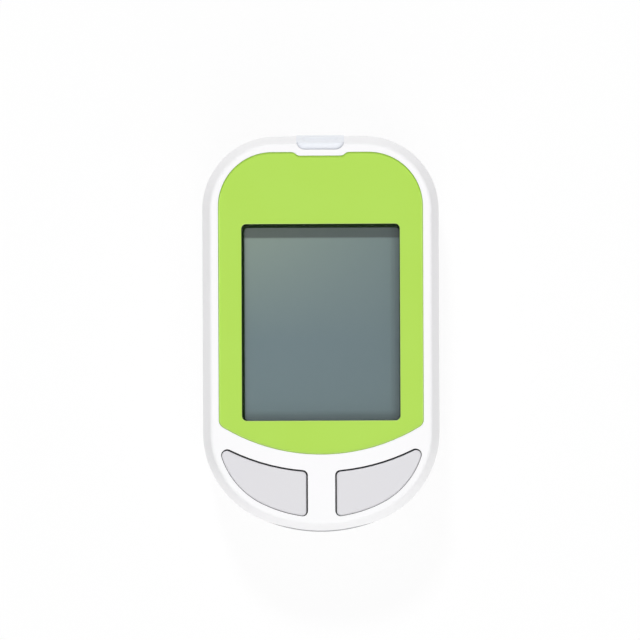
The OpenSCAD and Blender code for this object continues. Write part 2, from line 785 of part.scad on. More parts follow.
// The rim inside the parting line, which the front cover closes over
module tongue() {
    difference() {
        union() {
            slab(outline(body_arcs, side_wall - sunk), split_z - tongue_root, split_z);
            slab(outline(body_arcs, tongue_out), split_z - over, split_z + tongue_h);
        }
        slab(outline(body_arcs, tongue_in), split_z - tongue_root - over, split_z + tongue_h + over);
        block([-port_flange_half - fit, port_flange_y0 - over, split_z],
            [port_flange_half + fit, half_l, split_z + tongue_h + over]);
    }
}

module battery_tub() {
    block([-tub_outer, tub_y0 - tub_wall, floor_z - sunk], [tub_outer, tub_y1 + tub_wall, tub_top]);
}

// The ledge round the battery door, with the housings of its hooks and its latch
module door_frame() {
    slab(outline(door_arcs, -door_gap - frame_w), floor_z - sunk, door_seat + frame_t);
    block([-hook_x - hook_w / 2 - frame_w, tub_y1, floor_z - sunk],
        [hook_x + hook_w / 2 + frame_w, pivot_y + hook_reach + hook_gap + hook_roof_t,
            pivot_z + hook_sweep + hook_roof_t]);
    block([-latch_half - frame_w, latch_y - nail_gap - frame_w, floor_z - sunk],
        [latch_half + frame_w, door_y0, door_seat + frame_t]);
}

module hook_pockets() {
    for (s = sides)
        block([s * hook_x - hook_w / 2 - hook_gap, tub_y1 + tub_wall, door_seat - fit],
            [s * hook_x + hook_w / 2 + hook_gap, pivot_y + hook_reach + hook_gap,
                pivot_z + hook_sweep]);
}

module latch_notch() {
    block([-latch_half - latch_gap, latch_y - nail_gap, back_z - over],
        [latch_half + latch_gap, door_y0 + over, door_seat]);
    block([-nib_half - nib_gap, nib_y - nib_gap, door_seat - fit],
        [nib_half + nib_gap, nib_y + nib_l + nib_gap, door_top + nib_h + nib_gap]);
}

// The slot that a battery contact's tail passes through
module contact_slot(x, z0, z1) {
    block([x - tail_half - tail_gap, tub_y1 - contact_t - tail_gap, z0],
        [x + tail_half + tail_gap, tub_y1 + tail_gap, z1]);
}

module battery_door() {
    color("#f4f3f1")
    difference() {
        union() {
            difference() {
                slab(outline(door_arcs), back_z, door_top);
                block([-door_half - over, pivot_y, back_z - over],
                    [door_half + over, door_y1 + over, door_top + over]);
            }
            translate([-door_half, pivot_y, pivot_z])
                rotate([0, 90, 0])
                    cylinder(h = door_w, r = door_t / 2);
            for (s = sides) {
                block([s * hook_x - hook_w / 2, pivot_y - hook_root, pivot_z],
                    [s * hook_x + hook_w / 2, pivot_y, hook_top]);
                block([s * hook_x - hook_w / 2, pivot_y - hook_root, hook_z],
                    [s * hook_x + hook_w / 2, pivot_y + hook_reach, hook_top]);
            }
            block([-latch_half, latch_y, back_z], [latch_half, door_y0 + sunk, door_top]);
            block([-nib_half, nib_y, door_top - sunk], [nib_half, nib_y + nib_l, door_top + nib_h]);
        }
        for (s = sides)
            translate([s * (latch_half + latch_slot_w / 2), door_y0, 0])
                block([-latch_slot_w / 2, -over, back_z - over],
                    [latch_slot_w / 2, latch_slot_l, door_top + over]);
        for (k = [0 : grip_count - 1])
            translate([0, grip_y + k * grip_pitch, back_z])
                block([-grip_half, 0, -over], [grip_half, grip, grip]);
    }
}

module faceplate() {
    color("#b5df5b")
    difference() {
        slab(outline(plate_arcs), plate_z, plate_top);
        slab(outline(window_arcs), plate_z - over, plate_top + over);
    }
}

module display_lens() {
    color("#dfe6e4", 0.3)
    slab(outline(window_arcs, -lens_lap), lens_z, plate_z);
}

module display_gasket() {
    color("#22282a")
    difference() {
        slab(outline(window_arcs, -glass_lap), display_top, ledge_z);
        translate([gasket_right, -gasket_down, 0])
            slab(outline(window_arcs, gasket_show), display_top - over, ledge_z + over);
    }
}

// The right button: a hollow cap with a rounded edge, a flange under the front cover and a nub
module right_button() {
    color("#e3e3e5") {
        translate([button_shift, -button_shift, 0])
            difference() {
                union() {
                    loft(button_arcs, button_steps);
                    intersection() {
                        slab(outline(button_arcs, -flange_lap), flange_z, flange_top);
                        slab(outline(body_arcs, flange_margin), flange_z, flange_top);
                    }
                }
                slab(outline(button_arcs, button_gap + button_skirt), flange_z - over, button_roof);
            }
        post([switch_x, switch_y], nub_r, plunger_top, button_roof + sunk);
    }
}

module left_button() {
    mirror([1, 0, 0])
        right_button();
}

module strip_port() {
    color("#e4e8ee")
    difference() {
        union() {
            intersection() {
                slab(outline(port_arcs), split_z + fit, port_top);
                loft(body_arcs, [for (s = front_steps) [s[0] - port_proud, s[1]]]);
            }
            block([-port_neck_half, port_flange_y1 - sunk, split_z + fit],
                [port_neck_half, port_y + sunk, port_flange_top]);
            block([-port_flange_half, port_flange_y0, split_z + fit],
                [port_flange_half, port_flange_y1, port_flange_top]);
        }
        block([-slot_w / 2, port_flange_y0 - over, strip_z - slot_h / 2],
            [slot_w / 2, half_l + over, strip_z + slot_h / 2]);
        block([-slot_w / 2 - slot_lead, slot_face_y - slot_lead, strip_z - slot_h / 2 - slot_lead],
            [slot_w / 2 + slot_lead, half_l + over, strip_z + slot_h / 2 + slot_lead]);
    }
}

module main_board() {
    color("#1f6b3f")
    difference() {
        slab(outline(body_arcs, board_margin), board_z, board_top);
        block([-half_w, port_flange_y0 - fit, board_z - over], [half_w, half_l, board_top + over]);
        for (p = upper_screws)
            post(p, boss_r + 2 * fit, board_z - over, board_top + over);
        post([0, base_screw_y], base_boss_r + 2 * fit, board_z - over, board_top + over);
        for (p = board_screw_points)
            post(p, board_shank_r + pass_gap, board_z - over, board_top + over);
        for (s = sides)
            contact_slot(s * cell_x, board_z - over, board_top + over);
    }
}

module lcd_front_glass() {
    color("#c9d3d0", 0.6)
    block([-glass_half, glass_ledge_y, front_glass_z], [glass_half, glass_y1, polarizer_z]);
}

module lcd_rear_glass() {
    color("#c3cecb", 0.6)
    block([-glass_half, glass_y0, rear_glass_z], [glass_half, glass_y1, front_glass_z]);
}

// A film on the display, a little smaller than the glass
module display_film(z0, z1) {
    block([film_margin - glass_half, glass_y0 + film_margin, z0],
        [glass_half - film_margin, glass_y1 - film_margin, z1]);
}

module lcd_polarizer() {
    color("#78898a")
    display_film(polarizer_z, display_top);
}

module lcd_reflector() {
    color("#b9bfbd")
    display_film(reflector_z, rear_glass_z);
}

// Four walls round the glass, and rails under its sides and upper end
module display_holder() {
    color("#e9e9e6")
    difference() {
        block([-holder_half, holder_y0, board_top], [holder_half, holder_y1, display_top]);
        block([-glass_half - fit, glass_ledge_y - fit, reflector_z],
            [glass_half + fit, glass_y1 + fit, display_top + over]);
        block([holder_rail - glass_half, glass_ledge_y - fit, board_top - over],
            [glass_half - holder_rail, glass_y1 - holder_rail, display_top + over]);
        block([-glass_half - fit, glass_ledge_y - fit, board_top - over],
            [glass_half + fit, glass_y0, display_top + over]);
    }
}

module zebra_strip() {
    color("#3a3d40")
    block([zebra_margin - glass_half, zebra_y, board_top],
        [glass_half - zebra_margin, zebra_y + zebra_w, front_glass_z]);
}

// The x places of the strip connector's contacts
contact_xs = [for (k = [0 : contact_count - 1]) (k - (contact_count - 1) / 2) * contact_pitch];

module strip_connector() {
    color("#2b2c30")
    difference() {
        block([-connector_half, connector_y0, board_top], [connector_half, connector_y1, connector_top]);
        block([-slot_w / 2, connector_y0 + connector_back, strip_z - connector_slot],
            [slot_w / 2, connector_y1 + over, strip_z + connector_slot]);
        for (x = contact_xs)
            block([x - finger_w / 2 - fit / 2, connector_y0 - over, strip_z + connector_slot - 3 * finger_t],
                [x + finger_w / 2 + fit / 2, connector_y0 + connector_back + over,
                    strip_z + connector_slot]);
    }
}

// Sprung fingers along the slot's ceiling, each with a foot on the board
module strip_contacts() {
    finger_z = strip_z + connector_slot - 2 * finger_t;
    finger_l = connector_l - finger_setback;
    color("#d9b55a")
    for (x = contact_xs)
        translate([x - finger_w / 2, connector_y0, 0]) {
            block([0, -finger_foot, board_top], [finger_w, 0, board_top + finger_t]);
            block([0, -finger_t, board_top], [finger_w, 0, finger_z + finger_t]);
            block([0, -finger_t, finger_z], [finger_w, finger_l, finger_z + finger_t]);
            translate([0, finger_l - finger_tip, finger_z])
                rotate([0, 90, 0])
                    cylinder(h = finger_w, r = 2 * finger_t);
        }
}

module switch_bases() {
    color("#2a2a2c")
    both_sides()
    difference() {
        block([switch_x - switch_half, switch_y - switch_half, board_top],
            [switch_x + switch_half, switch_y + switch_half, switch_top - switch_cover_t]);
        post([switch_x, switch_y], plunger_r + plunger_gap,
            plunger_z - button_travel - fit, switch_top + over);
    }
}

// The steel plate on each switch, with a leg down either side
module switch_covers() {
    color("#c8c9cb")
    both_sides()
    difference() {
        union() {
            block([switch_x - switch_half, switch_y - switch_half, switch_top - switch_cover_t],
                [switch_x + switch_half, switch_y + switch_half, switch_top]);
            for (s = sides)
                translate([switch_x + s * (switch_half + switch_leg_t / 2), switch_y, 0])
                    block([-switch_leg_t / 2, -switch_leg_half, board_top],
                        [switch_leg_t / 2, switch_leg_half, switch_top]);
        }
        post([switch_x, switch_y], plunger_r + 2 * plunger_gap, board_top, switch_top + over);
    }
}

module right_plunger() {
    color("#e8e6df")
    post([switch_x, switch_y], plunger_r, plunger_z, plunger_top);
}

module left_plunger() {
    mirror([1, 0, 0])
        right_plunger();
}

// A chip's body hanging under the board
module hanging_chip(x, y, w, l) {
    block([x - w / 2, y - l / 2, chip_low_z], [x + w / 2, y + l / 2, board_z - chip_lift]);
}

module microcontroller() {
    color("#232426")
    hanging_chip(side_x, controller_y, controller_w, controller_w);
}

module memory_chip() {
    color("#232426")
    hanging_chip(side_x, memory_y, small_chip_w, small_chip_l);
}

module sensor_chip() {
    color("#232426")
    hanging_chip(0, sensor_y, small_chip_w, small_chip_l);
}

// A row of bent leads along +Y, starting at a chip's side x = 0, over a board at z = 0
module lead_row(count) {
    lead_t = 0.15;
    shoulder_z = chip_lift + chip_t / 2;
    for (k = [0 : count - 1])
        translate([0, (k - (count - 1) / 2) * lead_pitch - lead_w / 2, 0]) {
            block([0, 0, shoulder_z], [lead_l / 2, lead_w, shoulder_z + lead_t]);
            block([lead_l / 2 - lead_t, 0, 0], [lead_l / 2, lead_w, shoulder_z + lead_t]);
            block([lead_l / 2 - lead_t, 0, 0], [lead_l, lead_w, lead_t]);
        }
}

// Rows of leads on both sides of a chip of width w
module lead_rows(w, count) {
    for (a = [0, 180])
        rotate([0, 0, a])
            translate([w / 2, 0, 0])
                lead_row(count);
}

module chip_leads() {
    color("#c9cacc")
    translate([0, 0, board_z])
        mirror([0, 0, 1]) {
            for (a = [0, 90])
                translate([side_x, controller_y, 0])
                    rotate([0, 0, a])
                        lead_rows(controller_w, controller_leads);
            for (p = [[side_x, memory_y], [0, sensor_y]])
                translate([p[0], p[1], 0])
                    lead_rows(small_chip_w, small_chip_leads);
        }
}

module crystal() {
    color("#c4c6c8")
    slab(outline(box_arcs(side_x - crystal_l / 2, side_x + crystal_l / 2, crystal_y - crystal_w / 2,
        crystal_y + crystal_w / 2, crystal_w / 2 - fit, crystal_w / 2 - fit)),
        board_z - crystal_h, board_z);
}

module buzzer() {
    color("#202123")
    difference() {
        post([-side_x, buzzer_y], buzzer_r, board_z - buzzer_h, board_z);
        post([-side_x, buzzer_y], buzzer_port_r, board_z - buzzer_h - over, board_z - buzzer_h / 2);
    }
}

// Three chip parts in a row across the controller's side, and three in a column beside the sensor chip
module passives(row_y, column_x) {
    for (k = [-1 : 1])
        for (p = [[side_x + k * passive_pitch, row_y], [column_x, sensor_y + k * passive_pitch]])
            translate([p[0], p[1], passive_z])
                block([-passive_l / 2, -passive_w / 2, 0], [passive_l / 2, passive_w / 2, passive_w]);
}

module board_capacitors() {
    color("#b58f66")
    passives(capacitor_y, -passive_x);
}

module board_resistors() {
    color("#303236")
    passives(resistor_y, passive_x);
}

// A cell's can along +Y from its flat end, with the positive cap at the far end
module cell_can() {
    rod_y([0, 0, 0], can_r, cell_l - cap_h);
    rod_y([0, 0, 0], cap_r, cell_l);
}

module cell_jacket() {
    difference() {
        rod_y([0, fit, 0], cell_r, cell_l - cap_h - 2 * fit);
        rod_y([0, -over, 0], can_r + jacket_fit, cell_l + 2 * over);
    }
}

// The right cell has its cap at the strip end, and the left one at the button end
module cell_places() {
    translate([cell_x, tub_y1 - cell_end - cell_l, cell_z])
        children();
    translate([-cell_x, tub_y0 + cell_end + cell_l, cell_z])
        rotate([0, 0, 180])
            children();
}

module battery_cells() {
    color("#c9cbcd")
    cell_places()
        cell_can();
}

module battery_jackets() {
    color("#3c4650")
    cell_places()
        cell_jacket();
}

// A conical coil along -Y from a contact's plate
module contact_spring() {
    ring = 6;
    per_turn = 12;
    n = per_turn * spring_turns;
    spring_run = spring_l - 2 * wire_r;
    points = [for (k = [0 : n]) let (t = 360 * k / per_turn,
                    r = spring_base_r + (spring_tip_r - spring_base_r) * k / n,
                    y = -wire_r / 2 - spring_run * k / n)
        for (j = [0 : ring - 1]) let (a = 360 * j / ring)
            [(r + wire_r * cos(a)) * cos(t), y - wire_r * sin(a), (r + wire_r * cos(a)) * sin(t)]];
    walls = [for (k = [0 : n - 1]) for (j = [0 : ring - 1])
        let (a = k * ring + j, b = k * ring + (j + 1) % ring)
        [a, b, b + ring, a + ring]];
    ends = [[for (j = [ring - 1 : -1 : 0]) j], [for (j = [0 : ring - 1]) n * ring + j]];
    polyhedron(points, concat(walls, ends), convexity = 10);
}

// A contact's plate against the compartment's end wall, from x0 to x1
module contact_plate(x0, x1) {
    block([x0, tub_y1 - contact_t, cell_z - contact_half], [x1, tub_y1, cell_z + contact_half]);
}

module contact_tail(x) {
    block([x - tail_half, tub_y1 - contact_t, cell_z], [x + tail_half, tub_y1, tail_top]);
}

module negative_contact() {
    color("#c5c3bc") {
        contact_plate(-cell_x - contact_half, -cell_x + contact_half);
        contact_tail(-cell_x);
        translate([-cell_x, tub_y1 - contact_t, cell_z])
            contact_spring();
    }
}

module contact_dimple(x) {
    rod_y([x, tub_y1 - contact_t - dimple_h, cell_z], cap_r, dimple_h + contact_t / 2);
}

module positive_contact() {
    color("#c5c3bc") {
        contact_plate(cell_x - contact_half, cell_x + contact_half);
        contact_tail(cell_x);
        contact_dimple(cell_x);
    }
}

// One plate at the button end that joins the two cells
module bridge_contact() {
    color("#c5c3bc")
    translate([0, tub_y0 + tub_y1, 0])
        mirror([0, 1, 0]) {
            contact_plate(-cell_x - contact_half, cell_x + contact_half);
            contact_dimple(-cell_x);
            translate([cell_x, tub_y1 - contact_t, cell_z])
                contact_spring();
        }
}

// A screw along +Z with its head below z, and a cross recess in the head
module screw(at, z, head_r, head_h, shank_r, shank_l) {
    recess_w = head_r / 4;
    recess_l = 1.2 * head_r;
    translate([at[0], at[1], z])
        difference() {
            union() {
                translate([0, 0, -head_h])
                    cylinder(h = head_h, r = head_r);
                cylinder(h = shank_l - shank_r, r = shank_r);
                translate([0, 0, shank_l - shank_r])
                    cylinder(h = shank_r, r1 = shank_r, r2 = shank_r / 2);
            }
            for (a = [0, 90])
                rotate([0, 0, a])
                    block([-recess_l / 2, -recess_w / 2, -head_h - over],
                        [recess_l / 2, recess_w / 2, -head_h / 2]);
        }
}

module cover_screws() {
    color("#b9bbbe")
    for (p = cover_screw_points)
        screw(p, seat_z, cover_head_r, cover_head_h, cover_shank_r, cover_shank_l);
}

module board_screws() {
    color("#b9bbbe")
    for (p = board_screw_points)
        screw(p, board_z, board_head_r, board_head_h, board_shank_r, board_shank_l);
}

module rubber_feet() {
    color("#55585b")
    for (p = foot_points) {
        translate([p[0], p[1], 0])
            cylinder(h = foot_chamfer, r1 = foot_r - foot_chamfer, r2 = foot_r);
        post(p, foot_r, foot_chamfer, foot_top);
    }
}

module rating_label() {
    color("#dcdddd")
    slab(outline(label_arcs), back_z + label_gap, back_z + label_gap + label_t);
}

front_cover();
rear_cover();
battery_door();
faceplate();
display_lens();
display_gasket();
left_button();
right_button();
strip_port();
main_board();
lcd_front_glass();
lcd_rear_glass();
lcd_polarizer();
lcd_reflector();
display_holder();
zebra_strip();
strip_connector();
strip_contacts();
switch_bases();
switch_covers();
left_plunger();
right_plunger();
microcontroller();
sensor_chip();
memory_chip();
chip_leads();
crystal();
buzzer();
board_capacitors();
board_resistors();
battery_cells();
battery_jackets();
negative_contact();
positive_contact();
bridge_contact();
cover_screws();
board_screws();
rubber_feet();
rating_label();
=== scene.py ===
import math

import bmesh
import bpy
from mathutils import Matrix, Vector

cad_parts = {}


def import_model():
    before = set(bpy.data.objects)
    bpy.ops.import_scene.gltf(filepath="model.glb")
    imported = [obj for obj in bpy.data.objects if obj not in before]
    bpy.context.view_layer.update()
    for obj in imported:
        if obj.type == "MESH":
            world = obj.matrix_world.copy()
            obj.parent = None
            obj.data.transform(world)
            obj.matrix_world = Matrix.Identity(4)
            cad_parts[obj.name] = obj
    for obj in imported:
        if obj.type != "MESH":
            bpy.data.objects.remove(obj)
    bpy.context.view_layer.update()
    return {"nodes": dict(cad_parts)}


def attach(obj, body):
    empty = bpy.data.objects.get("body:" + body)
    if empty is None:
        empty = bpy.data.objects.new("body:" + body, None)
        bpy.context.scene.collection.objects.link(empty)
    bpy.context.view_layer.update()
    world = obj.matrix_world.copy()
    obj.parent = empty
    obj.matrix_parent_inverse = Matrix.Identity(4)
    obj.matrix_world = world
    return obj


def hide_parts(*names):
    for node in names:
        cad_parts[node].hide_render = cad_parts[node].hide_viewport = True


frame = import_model()

# ---- Dimensions: millimetres, with the names and formulas of the part's source ----
MM = 0.001
# How far cutters reach past what they cut and joined solids sink into each other, and a fit's clearance
OVER, SUNK, FIT = 1.0, 0.3, 0.1
SIDES = (-1, 1)

HALF_W, HALF_L = 29.0, 48.5
END_R = 18.1
BASE_ARC_R = 36.5
BASE_CORNER_R = 23.15
BACK_Z, SPLIT_Z, TOP_Z = 0.5, 10.5, 20.5
SIDE_LEAN, SHOULDER_R = 1.7, 0.9
SIDE_BULGE = 0.28
BACK_LEAN, BACK_EDGE_R = 0.3, 6.0
GROOVE = 0.25
SIDE_WALL, FRONT_WALL, INNER_R = 1.8, 2.0, 0.8
ROOF_Z = TOP_Z - FRONT_WALL
DOOR_T = 1.6
FLOOR_Z = BACK_Z + DOOR_T
TONGUE_H, TONGUE_T, TONGUE_ROOT = 1.2, 0.9, 2.0

PLATE_MARGIN, PLATE_END_MARGIN, PLATE_BASE_MARGIN = 4.0, 4.0, 19.1
PLATE_HALF = HALF_W - PLATE_MARGIN
PLATE_Y1 = HALF_L - PLATE_END_MARGIN
PLATE_Y0 = PLATE_BASE_MARGIN - HALF_L
PLATE_CORNER_R, PLATE_ARC_R, PLATE_BASE_R = 13.2, 46.5, 2.0
# Depths of the plate's two faces under the front face
PLATE_SUNK, PLATE_DEPTH = 0.4, 1.1
PLATE_TOP, PLATE_Z = TOP_Z - PLATE_SUNK, TOP_Z - PLATE_DEPTH
NOTCH_W, NOTCH_DEPTH, NOTCH_R = 9.8, 0.9, 1.7

WINDOW_MARGIN, WINDOW_DROP, WINDOW_BASE = 9.6, 17.5, 8.2
WINDOW_HALF = HALF_W - WINDOW_MARGIN
WINDOW_Y1 = PLATE_Y1 - WINDOW_DROP
WINDOW_Y0 = PLATE_Y0 + WINDOW_BASE
WINDOW_R = 1.2
LENS_LAP, LENS_T = 1.1, 0.8
LENS_Z = PLATE_Z - LENS_T
BEZEL_W = 1.0
# The gasket's foam shows this far inside the window on each of its sides, most at the head and the left,
# where it stands in for the shade of the window's walls
GASKET_SHADE_LEFT, GASKET_SHADE_RIGHT, GASKET_SHADE_TOP, GASKET_SHADE_BASE, GASKET_R = 0.7, 0.15, 0.95, 0.05, 0.9

WEB_HALF = 3.35
BUTTON_MARGIN, BUTTON_DROP, BUTTON_R = 3.55, 4.1, 1.3
BUTTON_GAP, BUTTON_SHIFT = 0.25, 0.12
BUTTON_SUNK = 0.2
BUTTON_TOP = TOP_Z - BUTTON_SUNK
BUTTON_EDGE, BUTTON_FACE, BUTTON_SKIRT = 0.6, 1.2, 0.9
FLANGE_LAP, FLANGE_T = 0.9, 0.9
NUB_R = 1.5
SWITCH_IN = 9.5

PORT_HALF, PORT_DEPTH, PORT_CORNER_R = 5.75, 3.2, 2.0
PORT_PROUD = 0.25
PORT_FLANGE_W, PORT_FLANGE_T = 1.8, 1.2
SLOT_W, SLOT_H, SLOT_R, SLOT_LEAD = 7.2, 1.3, 0.2, 0.5

# The board's gap to the side walls, and the heights of its two faces over the battery compartment's roof
BOARD_EDGE_GAP, BOARD_GAP, BOARD_RISE = 0.4, 0.1, 1.1
# Heights of the display's face, the strip's middle and the resting plungers over the board
DISPLAY_H, STRIP_H, PLUNGER_H = 2.3, 1.5, 2.7
GASKET_T = 0.3

CELL_R, CELL_GAP = 5.25, 0.2
TUB_END, TUB_BASE = 26.0, 21.0
TUB_WALL, TUB_ROOF_T = 1.2, 0.9
CONTACT_T, TAIL_HALF, TAIL_GAP = 0.4, 0.8, 0.3

DOOR_HALF, DOOR_R, DOOR_END_R, DOOR_GAP = 13.5, 3.0, 0.2, 0.15
LATCH_LAP, HINGE_LAP = 3.5, 4.2
HOOK_HALF, HOOK_X, HOOK_REACH, HOOK_T = 2.5, 7.0, 2.4, 1.0
HOOK_LIFT, HOOK_ROOT, HOOK_GAP, HOOK_ROOF_T = 0.2, 0.7, 0.25, 0.8
LATCH_HALF, LATCH_L, LATCH_SLOT_L, LATCH_SLOT_W = 4.5, 2.3, 5.0, 0.7
NAIL_GAP, LATCH_GAP = 0.9, 0.35
NIB_END, NIB_IN, NIB_L, NIB_H, NIB_GAP = 0.5, 1.0, 0.8, 0.5, 0.2
FRAME_W, FRAME_T = 1.4, 1.2
GRIP, GRIP_HALF, GRIP_COUNT = 0.35, 5.0, 4
GRIP_IN, GRIP_PITCH = 2.0, 4 * GRIP

SCREW_SIDE, SCREW_END, BASE_SCREW_WALL = 12.0, 12.0, 1.7
SHANK_R, HEAD_R, SHANK_L = 0.95, 1.9, 9.5
SEAT_Z = BACK_Z + 4.5
BOSS_R, BASE_BOSS_R, POST_R = 2.5, 2.2, 2.9
SCREW_GAP, PASS_GAP = 0.05, 0.2
BOARD_SCREW_END, BOARD_BOSS_R, BOARD_SHANK_R, BOARD_SHANK_L = 3.1, 1.7, 0.75, 4.0
HOLDER_WALL = 1.0

FOOT_R, FOOT_END, FOOT_SEAT, FOOT_GAP = 2.5, 22.0, 0.6, 0.9
BASE_FOOT_TURN, BASE_FOOT_GAP = 38.0, 0.3
LABEL_W, LABEL_L, LABEL_T, LABEL_R = 26.0, 10.0, 0.15, 1.2
LABEL_END, LABEL_GAP = 1.0, 0.05
SOUND_HOLE_R, SOUND_RING_R = 0.5, 2.0

# Radius of the small rounding along moulded edges, of small holes and thin edges, and beside a fine gap
RIM, HOLE_RIM, FINE_RIM = 0.15, 0.1, 0.08
WINDOW_RIM, FOOT_RIM = 0.2, 0.3
# Clearance left between pieces that are pressed together
TOUCH = 0.01
# Width and height of the rounding along the plate's edge, and height of the one along a button's
PLATE_EDGE_RUN, PLATE_EDGE_RISE = 0.6, 0.35
CAP_EDGE_RISE = 0.35
# Upward share of the normals of the faces that get the painted shade in the parting groove and the painted
# highlight on the plate's edge
SEAM_SHADE_LOW, SEAM_SHADE_HIGH = 0.3, 0.9
HIGHLIGHT_LOW, HIGHLIGHT_HIGH = 0.1, 0.98
# The plate's edge gets the painted highlight this near to the window, and elsewhere where it leans less than
# this to the strip end
WINDOW_NEAR, EDGE_LEAN = 0.3, 0.1
# The insert's top is a pillow this far under the case's top, whose edge falls away to the opening's side
PILLOW_SUNK, PILLOW_RUN, PILLOW_DROP = 0.15, 2.0, 0.9
# Radii of the latch tab's corners and of the buttons' outer tips, which are rounder than the solids'
TONGUE_R, TIP_R = 0.6, 1.5
# How far the front cover ends short of the rear cover at the button end, where the parting line shows from
# above, and how much wider and longer the outline is that cuts it there, so that it meets no other side
FOOT_STEP = 0.38
FOOT_WIDER, FOOT_LONGER = 1.15, 1.1

# Arcs with a radius over WIDE_R have a point about every WIDE_STEP degrees, the others every TIGHT_STEP
WIDE_R, WIDE_STEP, TIGHT_STEP = 4, 3.0, 7.5
# Points of an outline that are no further apart than this are one, and so are corners of a modelled or a
# CAD mesh
SAME_POINT, SAME_CORNER, SAME_CAD_CORNER = 1e-4, 0.002, 0.001
# Steps of a small rounding, and of the wide ones and the crowned wall
ROUND_STEPS, WIDE_ROUND_STEPS = 4, 8
# Faces that meet at more than this many degrees keep a sharp edge, or get a bevel on a CAD node
CREASE, CAD_CREASE = 35.0, 40.0


def sind(a):
    return math.sin(math.radians(a))


def cosd(a):
    return math.cos(math.radians(a))


# ---- Outlines: arcs as (centre x, centre y, radius, turn, first angle, last angle) ----
def outline(arcs, inset):
    """Points of a closed outline; a turn of 1 bulges out of it and -1 into it."""
    points = []
    for x, y, r, turn, a0, a1 in arcs:
        step = WIDE_STEP if r > WIDE_R else TIGHT_STEP
        count = max(2, round(abs(a1 - a0) / step))
        reach = r - turn * inset
        for k in range(count + 1):
            a = a0 + (a1 - a0) * k / count
            p = (x + reach * cosd(a), y + reach * sind(a))
            if not points or math.dist(p, points[-1]) > SAME_POINT:
                points.append(p)
    if math.dist(points[0], points[-1]) < SAME_POINT:
        points.pop()
    return points


def mirrored(arcs):
    """The same outline on the other side of the Y axis."""
    return [(-x, y, r, turn, 180 - a1, 180 - a0) for x, y, r, turn, a0, a1 in reversed(arcs)]


def shifted(arcs, dx, dy):
    return [(x + dx, y + dy, r, turn, a0, a1) for x, y, r, turn, a0, a1 in arcs]


def box_arcs(x0, x1, y0, y1, r0, r1):
    """A rectangle with a radius at its two lower and its two upper corners."""
    return [
        (x1 - r0, y0 + r0, r0, 1, -90, 0), (x1 - r1, y1 - r1, r1, 1, 0, 90),
        (x0 + r1, y1 - r1, r1, 1, 90, 180), (x0 + r0, y0 + r0, r0, 1, 180, 270),
    ]


def circle(x, y, r):
    return [(x, y, r, 1, 0, 360)]


def circle_meet(a, ra, b, rb):
    """The point where two circles meet, to the left of the way from a to b."""
    d = math.dist(a, b)
    along = (d * d + ra * ra - rb * rb) / (2 * d)
    off = math.sqrt(ra * ra - along * along)
    ux, uy = (b[0] - a[0]) / d, (b[1] - a[1]) / d
    return a[0] + along * ux - off * uy, a[1] + along * uy + off * ux


END_X, END_Y = HALF_W - END_R, HALF_L - END_R
BASE_Y = BASE_ARC_R - HALF_L
CORNER_X = HALF_W - BASE_CORNER_R
CORNER_Y = BASE_Y - math.sqrt((BASE_ARC_R - BASE_CORNER_R) ** 2 - CORNER_X ** 2)
BASE_TURN = math.degrees(math.atan(CORNER_X / (BASE_Y - CORNER_Y)))
BODY_ARCS = [
    (CORNER_X, CORNER_Y, BASE_CORNER_R, 1, BASE_TURN - 90, 0), (END_X, END_Y, END_R, 1, 0, 90),
    (-END_X, END_Y, END_R, 1, 90, 180), (-CORNER_X, CORNER_Y, BASE_CORNER_R, 1, 180, 270 - BASE_TURN),
    (0, BASE_Y, BASE_ARC_R, 1, 270 - BASE_TURN, 270 + BASE_TURN),
]

PLATE_ARC_Y = PLATE_Y0 + PLATE_ARC_R
PLATE_BASE_X = PLATE_HALF - PLATE_BASE_R
PLATE_BASE_Y = PLATE_ARC_Y - math.sqrt((PLATE_ARC_R - PLATE_BASE_R) ** 2 - PLATE_BASE_X ** 2)
PLATE_BASE_TURN = math.degrees(math.atan(PLATE_BASE_X / (PLATE_ARC_Y - PLATE_BASE_Y)))
NOTCH_TURN = math.degrees(math.acos(1 - NOTCH_DEPTH / (2 * NOTCH_R)))
NOTCH_HALF = NOTCH_W / 2
NOTCH_OUTER = NOTCH_HALF + 2 * NOTCH_R * sind(NOTCH_TURN)
NOTCH_Y = PLATE_Y1 - NOTCH_DEPTH + NOTCH_R
PLATE_ARCS = [
    (PLATE_BASE_X, PLATE_BASE_Y, PLATE_BASE_R, 1, PLATE_BASE_TURN - 90, 0),
    (PLATE_HALF - PLATE_CORNER_R, PLATE_Y1 - PLATE_CORNER_R, PLATE_CORNER_R, 1, 0, 90),
    (NOTCH_OUTER, PLATE_Y1 - NOTCH_R, NOTCH_R, 1, 90, 90 + NOTCH_TURN),
    (NOTCH_HALF, NOTCH_Y, NOTCH_R, -1, 270 + NOTCH_TURN, 270),
    (-NOTCH_HALF, NOTCH_Y, NOTCH_R, -1, 270, 270 - NOTCH_TURN),
    (-NOTCH_OUTER, PLATE_Y1 - NOTCH_R, NOTCH_R, 1, 90 - NOTCH_TURN, 90),
    (PLATE_CORNER_R - PLATE_HALF, PLATE_Y1 - PLATE_CORNER_R, PLATE_CORNER_R, 1, 90, 180),
    (-PLATE_BASE_X, PLATE_BASE_Y, PLATE_BASE_R, 1, 180, 270 - PLATE_BASE_TURN),
    (0, PLATE_ARC_Y, PLATE_ARC_R, 1, 270 - PLATE_BASE_TURN, 270 + PLATE_BASE_TURN),
]

